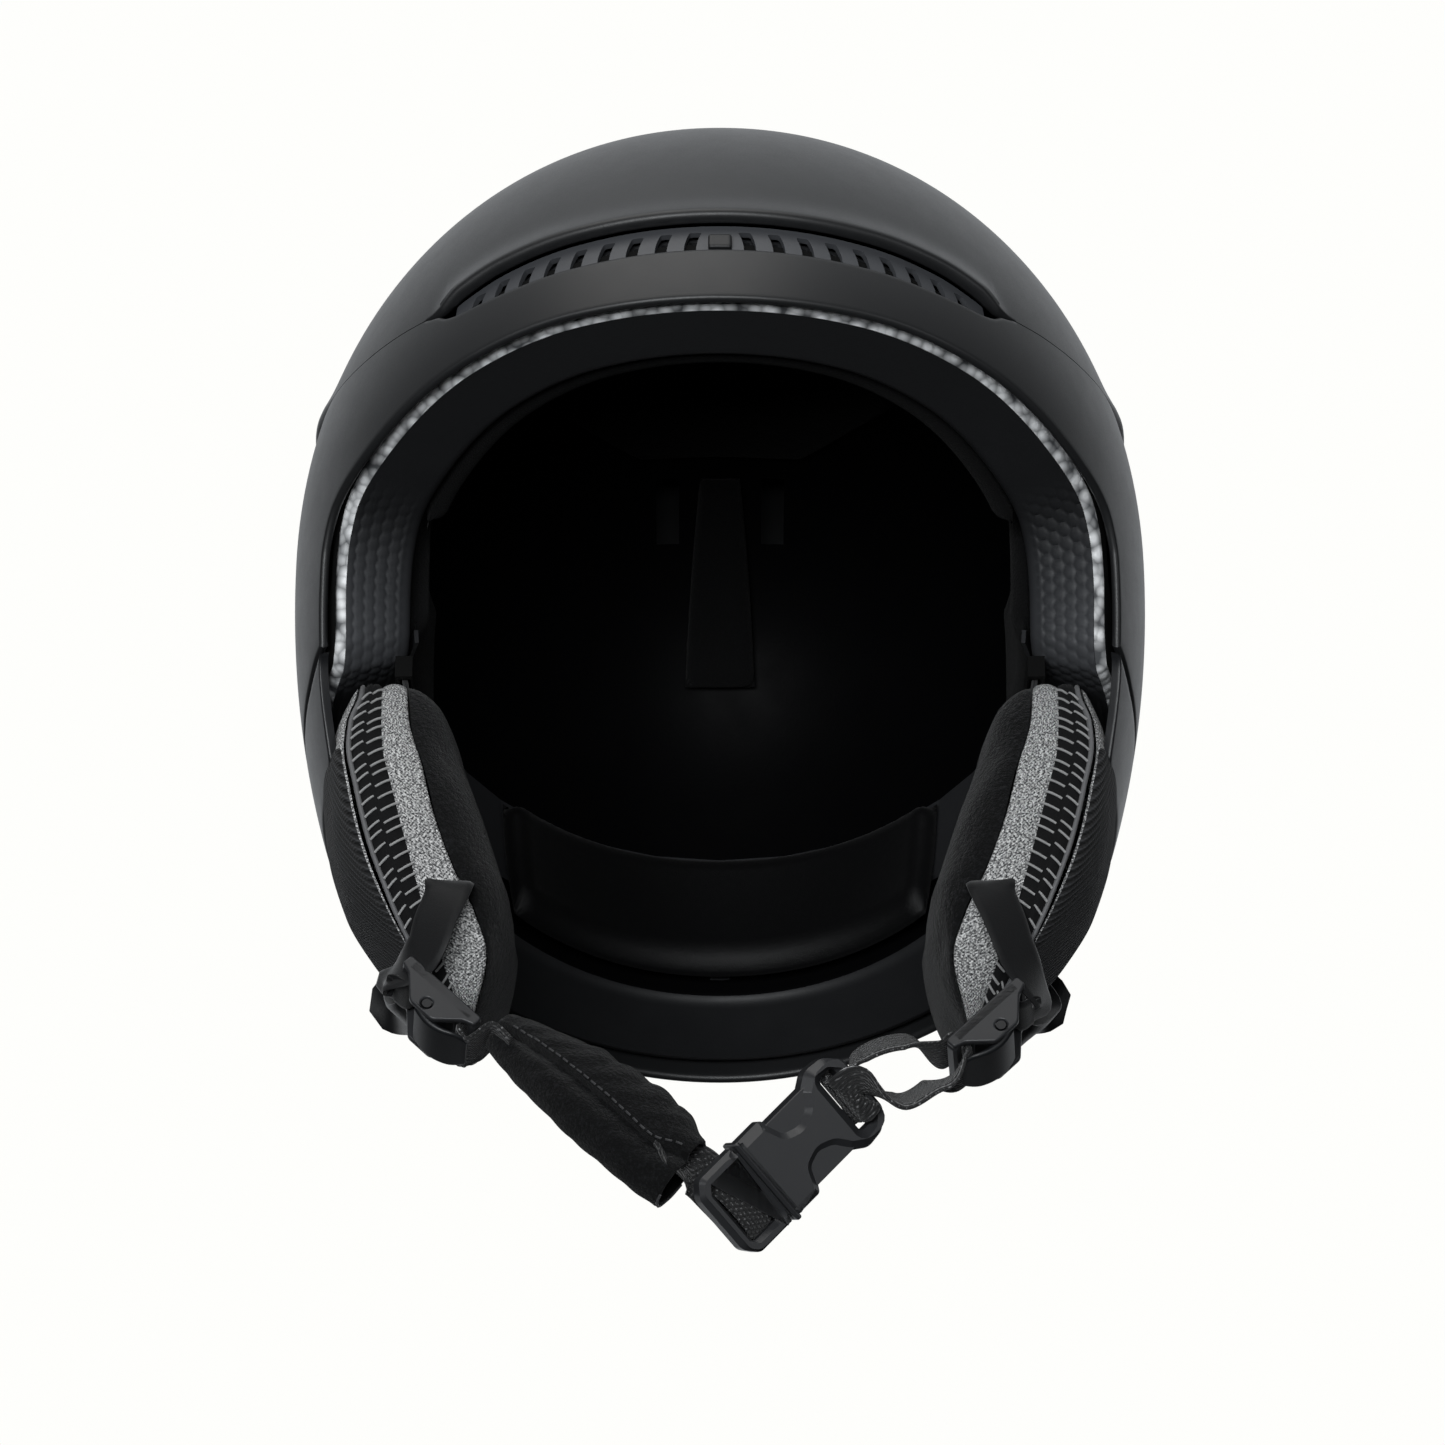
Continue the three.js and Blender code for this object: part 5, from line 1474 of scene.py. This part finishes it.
def build_dividers():
    for name, side in SIDES:
        frame_ = DIVIDER_FRAMES[name]
        outline = rounded_loop([(-12.5, -10), (12.5, -10), (12.5, 10), (-12.5, 10)], 2.6)
        slots = [
            rounded_loop([(u - 1.7, 8), (u + 1.7, 8), (u + 1.7, -8), (u - 1.7, -8)], 0.9) for u in (8.3, -8.3)]
        plate = moulded_plate("plate", [outline, *slots], 3.4, 0.7, frame_, FINISH["plastic"], 0.25)
        pieces = [plate]
        wall = rounded_loop([
            (-12.3, -1.6), (12.3, -1.6), (12.3, 1.3), (9.2, 2.4), (3.6, 7.6), (-4.0, 7.6), (-9.5, 2.2), (-12.3, 1.3)],
            [0.8, 0.8, 0.8, 2.5, 2.4, 2.4, 2.5, 0.8])
        turn = np.linspace(0, 2 * math.pi, 20, endpoint=False)[::-1]
        bore = np.stack([1.5 * np.cos(turn), 5.2 + 1.5 * np.sin(turn)], 1)
        for v in (9.1, -9.1):
            stand = Matrix([[1, 0, 0, 0], [0, 0, -1, v], [0, 1, 0, 0], [0, 0, 0, 1]])
            pieces.append(moulded_plate("wall", [wall, bore], 1.8, 0.35, frame_ @ stand, FINISH["plastic"], 0.15))
        obj = joined_part(f"divider_{name}_plate", pieces)
        settle(obj, "helmet", "plastic", f"strap_divider_{name}")
        part = Part()
        t = np.linspace(0, 1, 24)
        u = 2.0 - 15.0 * t
        n = 6.2 + 1.6 * np.sin(math.pi * np.clip(t * 1.05, 0, 1)) - 2.4 * t ** 2
        wide = np.where(t < 0.7, 15.8, 15.8 - 5 * ((t - 0.7) / 0.3) ** 2)
        thick = 2.4 - 1.2 * t
        rings = []
        for k in range(len(t)):
            loop = section(wide[k], thick[k], 0.55 * thick[k])
            rings.append([at_frame(frame_, u[k], a, n[k] + b) for a, b in loop])
        loft(part, np.array(rings))
        pin = np.array([at_frame(frame_, 0, v, 5.2) for v in np.linspace(-9.9, 9.9, 4)])
        part.tube(pin, 1.2, 16)
        obj = finished(part.make(f"lever_{name}_leaf", [FINISH["trim"]], sharp=40))
        settle(obj, f"lever_{name}", "trim", f"divider_lever_{name}")


build_straps()
build_dividers()

# ---------------------------------------------------------------- chin strap

BUCKLE_AXIS = unit(np.array([0.68, 0, 0.733]))
BUCKLE = placement((9.5, -34, -180.8), (0.68, 0, 0.733), (0.365, -0.866, -0.34))
on_buckle = lambda u, v, n: at_frame(BUCKLE, u, v, n)
BUCKLE_THICK, BUCKLE_HALF, BUCKLE_CAVITY = 8.0, 11.7, 9.9


def build_buckle():
    half, cavity, hard = BUCKLE_HALF, BUCKLE_CAVITY, FINISH["plastic"]
    male = [(-14.5, -8), (-11.5, -half), (-0.3, -half), (-0.3, half), (-11.5, half), (-14.5, 8)]
    male = rounded_loop(male, [3.0, 2.5, 0.3, 0.3, 2.5, 3.0])
    window = rounded_loop([(-11.2, -8.6), (-2.8, -8.6), (-2.8, 8.6), (-11.2, 8.6)][::-1], 1.2)
    body = moulded_plate("male", [male, window], BUCKLE_THICK, 2.2, BUCKLE, hard, 0.4)
    tongue = [(-1, -1.6), (15, -1.2), (15, 1.2), (-1, 1.6)]
    prong = moulded_plate("prong", [tongue], 3.6, 0.3, BUCKLE, hard, 0.15)
    settle(joined_part("buckle_male_body", [body, prong]), "chin_strap", "plastic", "buckle_male")
    for name, side in (("upper", 1), ("lower", -1)):
        loop = [(0, 4.6), (0, 7.6), (11, 7.9), (13.2, 9.55), (16.5, 9.75), (20, 8.8), (23, 6.2), (19, 4.4)]
        loop = rounded_loop([(u, v * side) for u, v in loop][::side], [0.3, 0.3, 2, 2, 4, 2.5, 1.2, 2][::side], 6)
        arm = moulded_plate(f"arm_{name}", [loop], 4.2, 1.0, BUCKLE, hard, 0.3)
        arm.name = f"buckle_arm_{name}_pad"
        settle(arm, f"latch_{name}", "plastic", f"buckle_arm_{name}")
    side = [
        (0.1, 11.7), (9.6, 11.7), (10.8, 9.6), (12.4, 5.8), (16, 4.6), (19.5, 6), (22.3, 9.6), (26.5, 12.4),
        (32, 11.8), (36, 7.8)]
    radii = [0.3, 1.2, 1.5, 2.0, 3.0, 3.0, 4.0, 4.0, 4.0, 3.0]
    outline = rounded_loop([*side, *[(u, -v) for u, v in side][::-1]], [*radii, *radii[::-1]], 5)
    bar = rounded_loop([(27.6, -8.4), (32.6, -8.4), (32.6, 8.4), (27.6, 8.4)][::-1], 1.4)
    body = moulded_plate("female", [outline, bar], BUCKLE_THICK, 2.2, BUCKLE, hard, None)
    room = [(-1, -cavity), (24, -cavity), (24, cavity), (-1, cavity)]
    cutter = moulded_plate("room", [rounded_loop(room, 0.6)], 4.9, 0.2, BUCKLE, hard, None)
    difference(body, cutter)
    finished(body, 0.35)
    collar = rounded_loop([(0.2, -12.2), (1.7, -12.2), (1.7, 12.2), (0.2, 12.2)], 0.5)
    rim = moulded_plate("rim", [collar], 8.9, 0.7, BUCKLE, hard, None)
    mouth = rounded_loop([(-1.7, -cavity), (3.4, -cavity), (3.4, cavity), (-1.7, cavity)], 0.2)
    cutter = moulded_plate("room2", [mouth], 4.9, 0.2, BUCKLE, hard, None)
    difference(rim, cutter)
    finished(rim, 0.25)
    settle(joined_part("buckle_female_body", [body, rim]), "buckle_half", "plastic", "buckle_female")


CHIN_START, CHIN_END = np.array([-53.5, -32, -140.4]), np.array([-9, -36.5, -178])
CHIN_UP, CHIN_FORWARD = unit(np.array([0.61, 0, 0.79])), np.array([0.0, -1.0, 0.0])


def chin_centre(t):
    p = CHIN_START + (CHIN_END - CHIN_START) * np.asarray(t, float)[..., None]
    p[..., 1] -= 3 * np.sin(math.pi * np.clip(t, 0, 1))
    return p


def chin_surface(t, turn):
    """A place on the chin pad: t along it, and turn in degrees from its top round the front."""
    closing = np.sin(math.pi * (0.10 + 0.52 * t)) ** 0.45
    tall = (8.4 + 3.0 * np.sin(math.pi * (0.12 + 0.55 * t))) * closing + 0.8 * t
    tall = tall * (1 - 0.24 * smoothstep(t, 0.88, 1.0) * np.cos(np.radians(turn)).clip(0, 1))
    deep = 7.0 * closing
    groove = chin_groove(t)
    past = turn - groove
    flap = 1.1 * smoothstep(turn, groove - 75, groove - 12) * (past <= 0)
    lower = -2.9 * np.exp(-np.clip(past - 3, 0, None) ** 2 / 260.0) * (past > 0)
    row = smoothstep(t, 0.30, 0.38) * (1 - smoothstep(t, 0.80, 0.88))
    scallop = 1.0 * row * (np.abs(np.sin(math.pi * (t - 0.34) / 0.16)) - 0.4) * np.exp(-((turn - 25) / 24.0) ** 2)
    back = -0.6 * np.exp(-((turn - 270) / 50.0) ** 2)
    radial = flap + lower + scallop + back
    radial = radial + 0.22 * np.sin(t * 31 + turn / 17) * np.sin(turn / 9 + t * 13)
    c, s = np.cos(np.radians(turn)), np.sin(np.radians(turn))
    up, forward = (tall + radial) * c, (deep + radial) * s
    return chin_centre(t) + CHIN_UP * up[..., None] + CHIN_FORWARD * forward[..., None]


def chin_groove(t):
    """Where the seam runs down the pad's front, in degrees from its top."""
    return 80 + 16 * np.clip(t / 0.8, 0, 1) - 16 * smoothstep(t, 0.84, 1.0)


def build_chin_pad():
    part = Part()
    t = np.linspace(0, 1, 110)
    offsets = np.concatenate([[0, 0.6, 2.2, 3.5], np.linspace(6, 354, 100), [357.5, 359.5]])
    tt = np.broadcast_to(t[:, None], (len(t), len(offsets)))
    turn = chin_groove(t)[:, None] + 0.05 + offsets[None]
    turn = np.where(turn >= 360, turn - 360, turn)
    rings = chin_surface(tt, turn)
    left = rings[0].mean(axis=0)
    right = rings[-1].mean(axis=0)
    back = (CHIN_START - CHIN_END) / 58
    closing = [
        left + (rings[0] - left) * k + back * (1 - k * k) ** 0.5 * 2.2 for k in (0.05, 0.35, 0.62, 0.82, 0.94)]
    hem = ((0.98, -0.5), (0.93, -0.75), (0.87, -0.5), (0.84, 0.3), (0.80, 3), (0.72, 9))
    rim = [right + (rings[-1] - right) * k + back * d for k, d in hem]
    part.grid(np.stack([*closing, *rings, *rim[:3]]), wrap_v=True)
    part.grid(np.stack([rim[2], *rim[3:]]), wrap_v=True, slot=1)
    part.fan(closing[0])
    part.fan(rim[-1], slot=1, flip=True)
    # The flap's edge is stitched down in light thread.
    for k in range(23):
        start = 0.05 + k * 0.0405
        line = np.linspace(start, start + 0.026, 4)
        part.tube(chin_surface(line, chin_groove(line) - 3.0) + CHIN_FORWARD * 0.12, 0.24, 6, slot=2)
    arc = np.linspace(150, 262, 30)
    edge = right + (chin_surface(np.ones(30), arc) - right) * 0.965 - back * 0.72
    part.tube(edge, 0.34, 6, slot=2)
    obj = part.make("chin_pad_sleeve", [FINISH["fleece"], FINISH["lining"], FINISH["grey_thread"]], merge=0.0005)
    settle(obj, "chin_strap", "fleece", "chin_pad")


def build_chin_webbing():
    d = lambda u, v, n: at_frame(DIVIDER_FRAMES["right"], u, v, n)
    part = Part()
    places = (d(-8.3, 0, -2.4), d(-8.9, 0, 3), d(-12.4, 0, 3.5), (-56, -32.5, -141.5), (-51, -33, -146))
    strap(part, [(place, ACROSS["right"]) for place in places], 40)
    obj = part.make("chin_webbing_right_strip", [FINISH["webbing"]], sharp=50)
    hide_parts("chin_webbing_right")
    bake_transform(obj)
    part = Part()
    inside = chin_centre(np.array([0.86, 0.97]))
    strap(part, [(inside[0], (0, 1, 0.2)), (inside[1], unit(0.4 * BUCKLE_AXIS + [0, 0.9, 0.2])),
                 (on_buckle(-8.2, 12.0, -5.0), BUCKLE_AXIS), (on_buckle(-7.4, 4, -5.4), BUCKLE_AXIS),
                 (on_buckle(-7.2, -8.5, -5.2), BUCKLE_AXIS)], 50, np.interp(np.arange(50), [0, 22, 49], [15, 13, 12]))
    # The end is wrapped round the bar and shows as a roll in the male half's window.
    turns = ((8.3, -4.2), (7.6, -0.6), (4.5, 1.9), (0, 2.7), (-4.5, 2.2), (-7.8, 0.2), (-8.2, -4.0))
    strap(part, [(on_buckle(-7, v, n), BUCKLE_AXIS) for v, n in turns], 50, 7.6)
    obj = part.make("chin_webbing_middle_strip", [FINISH["webbing"]], sharp=50)
    settle(obj, "chin_strap", "webbing", "chin_webbing_middle")
    across = -np.array(BUCKLE.to_3x3().col[1])
    left = lambda u, v, n: at_frame(DIVIDER_FRAMES["left"], u, v, n)
    wide = ACROSS["left"]
    turned = unit(np.array([-0.05, 0.80, 0.59]))
    over_bar = lambda n: [
        (on_buckle(30.2, 0, n * 0.6), across), (on_buckle(30.5, 0, n * 3.9), across),
        (on_buckle(33.2, 0.8 * n, n * 5.4), unit(across + 0.5 * turned))]
    over_end = lambda n: [(left(u, 0, n * out), wide) for u, out in ((-12, 3.6), (-8.9, 3), (-8.3, 1.2))]
    upper = [*over_bar(-1), ((34, -31, -146.5), turned), ((45, -32, -142.5), turned), *over_end(-1)]
    lower = [*over_bar(1), ((44, -36, -160), turned), ((52, -35, -155.5), turned), *over_end(1)]
    # Each strand is two pieces, one by the divider and one by the buckle, that meet where both ride the strap.
    for name, keys, cut, leave, reach in (
            ("upper", upper, 74, (0.0545, -0.032, -0.1410), (0.034, -0.031, -0.1465)),
            ("lower", lower, 62, (0.052, -0.035, -0.1555), (0.033, -0.036, -0.163))):
        part = Part()
        strap(part, keys, 110, keep=slice(0, cut + 1))
        obj = part.make(f"adjuster_webbing_{name}_strip", [FINISH["webbing"]], sharp=50)
        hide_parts(f"adjuster_webbing_{name}")
        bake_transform(obj)
        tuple(leave)
        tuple(reach)
        part = Part()
        strap(part, keys, 110, keep=slice(cut, None))
        obj = part.make(f"adjuster_webbing_{name}_end", [FINISH["webbing"]], sharp=50)
        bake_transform(obj)


build_buckle()
build_chin_pad()
build_chin_webbing()

# ---------------------------------------------------------------- back of the helmet

DIAL_Z = -64.0


def build_back():
    stand = Matrix([[1, 0, 0, 0], [0, 0, 1, 123.45], [0, 1, 0, DIAL_Z], [0, 0, 0, 1]])
    turn = np.linspace(0, 2 * math.pi, 288, endpoint=False)
    wave = np.cos(12 * turn)
    grip = 13.3 - 1.15 * np.where(wave > -0.2, wave, 0)
    outline = np.stack([grip * np.cos(turn), grip * np.sin(turn)], 1)
    dial = moulded_plate("dial", [outline], 11.1, 1.3, stand, FINISH["trim"], 0.35)
    cap_turn = np.linspace(0, 2 * math.pi, 96, endpoint=False)
    cap = Part()
    rings = []
    steps = (
        (9.8, 128.9), (9.6, 129.35), (9.2, 129.6), (8.6, 129.55), (8.2, 129.1), (7.6, 128.75), (5, 128.55),
        (2, 128.5))
    for r, out in steps:
        rings.append(np.stack([r * np.cos(cap_turn), np.full(96, out), DIAL_Z + r * np.sin(cap_turn)], 1))
    loft(cap, rings)
    ring = cap.make("dial_cap", [FINISH["trim"]], sharp=50)
    settle(joined_part("fit_dial_wheel", [dial, ring]), "dial", "trim", "fit_dial")
    flap = Part()
    y, z, hinge_z, hinge_y, half = 144.2, -4.0, 15.0, 151.0, 15.0
    rings = []
    for k in np.linspace(0, 1, 30):
        width = 2 * half - 2 - 3.0 * smoothstep(k, 0.6, 1.0)
        centre_y = hinge_y - 0.25 + 1.1 * math.sin(math.pi * k)
        loop = section(width, 2.7 - 0.5 * k, 1.1)
        rings.append([(a, centre_y + b, hinge_z - k * (hinge_z - z + 22.3)) for a, b in loop])
    loft(flap, np.array(rings))
    flap.tube([(x, hinge_y, hinge_z) for x in (-14.5, -14.3, 14.3, 14.5)], [2.8, 3.1, 3.1, 2.8], 28)
    hook = section(12, 3.8, 0.8)
    middle = (y + 3.2 + hinge_y) / 2
    quarter = np.linspace(-0.5, 0.5, 4)
    loft(flap, np.array([[(a, middle + c * 3.6, z - 24.1 + b) for a, b in hook] for c in quarter]))
    obj = finished(flap.make("goggle_flap_leaf", [FINISH["trim"]], sharp=45))
    settle(obj, "flap", "trim", "goggle_clip_flap")
    seat = Part()
    low, high = z - 22, hinge_z + 6
    rings = []
    for k in np.linspace(0, 1, 26):
        height = low + (high - low) * k
        soft = math.sqrt(max(1 - (abs(2 * k - 1) ** 10), 0.0))
        loop = section(2 * half + 8 - 5 * (1 - soft), 3.4, 1.2)
        rings.append([(a, y - 1.85 + b, height) for a, b in loop])
    loft(seat, np.array(rings))
    lug = [(y - 2.5, -6.5), (y + 1, -5.2), (hinge_y + 3, -2.6), (hinge_y + 3, 3.2), (y - 2.5, 3.2)]
    ear = rounded_loop([(a, hinge_z + b) for a, b in lug], [0, 3, 3, 2.6, 0])
    for x in (half + 1.8, -half - 1.8):
        loft(seat, np.array([[(x + c * 4, a, b) for a, b in ear] for c in (-0.5, -0.42, 0.42, 0.5)]))
    bar = section(12, 3.0, 0.7)
    loft(seat, np.array([[(a, y + 1.8 + c * 5.6, z - 20 + b) for a, b in bar] for c in quarter]))
    obj = finished(seat.make("goggle_clip_seat", [FINISH["trim"]], sharp=45), 0.25)
    settle(obj, "helmet", "trim", "goggle_clip_base")


def build_housing():
    """The dial's housing, its underside sloped to lie in the foam."""
    outline = [(106.4, -49), (116.9, -49), (116.9, -80.5), (114.5, -78.5), (106.4, -72.0)]
    outline = rounded_loop(outline, [1, 1, 1, 2, 1])
    part = Part()
    shrink = [(-22, 0.94), (-21.4, 0.985), (-20, 1), (20, 1), (21.4, 0.985), (22, 0.94)]
    middle = outline.mean(axis=0)
    loft(part, np.array([[(x, *(middle + (p - middle) * k)) for p in outline] for x, k in shrink]))
    obj = finished(part.make("dial_housing_case", [FINISH["plastic"]], sharp=45), 0.3)
    settle(obj, "helmet", "plastic", "dial_housing")


build_back()
build_housing()

# ---------------------------------------------------------------- carried-over pieces

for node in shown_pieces():
    if node.name in frame["nodes"]:
        slot = next(part["material_slot"] for part in frame["record"]["subparts"] if part["node"] == node.name)
        node.data.materials.clear()
        node.data.materials.append(FINISH["lining" if node.name.startswith(("ear_frame", "strap_anchor")) else slot])
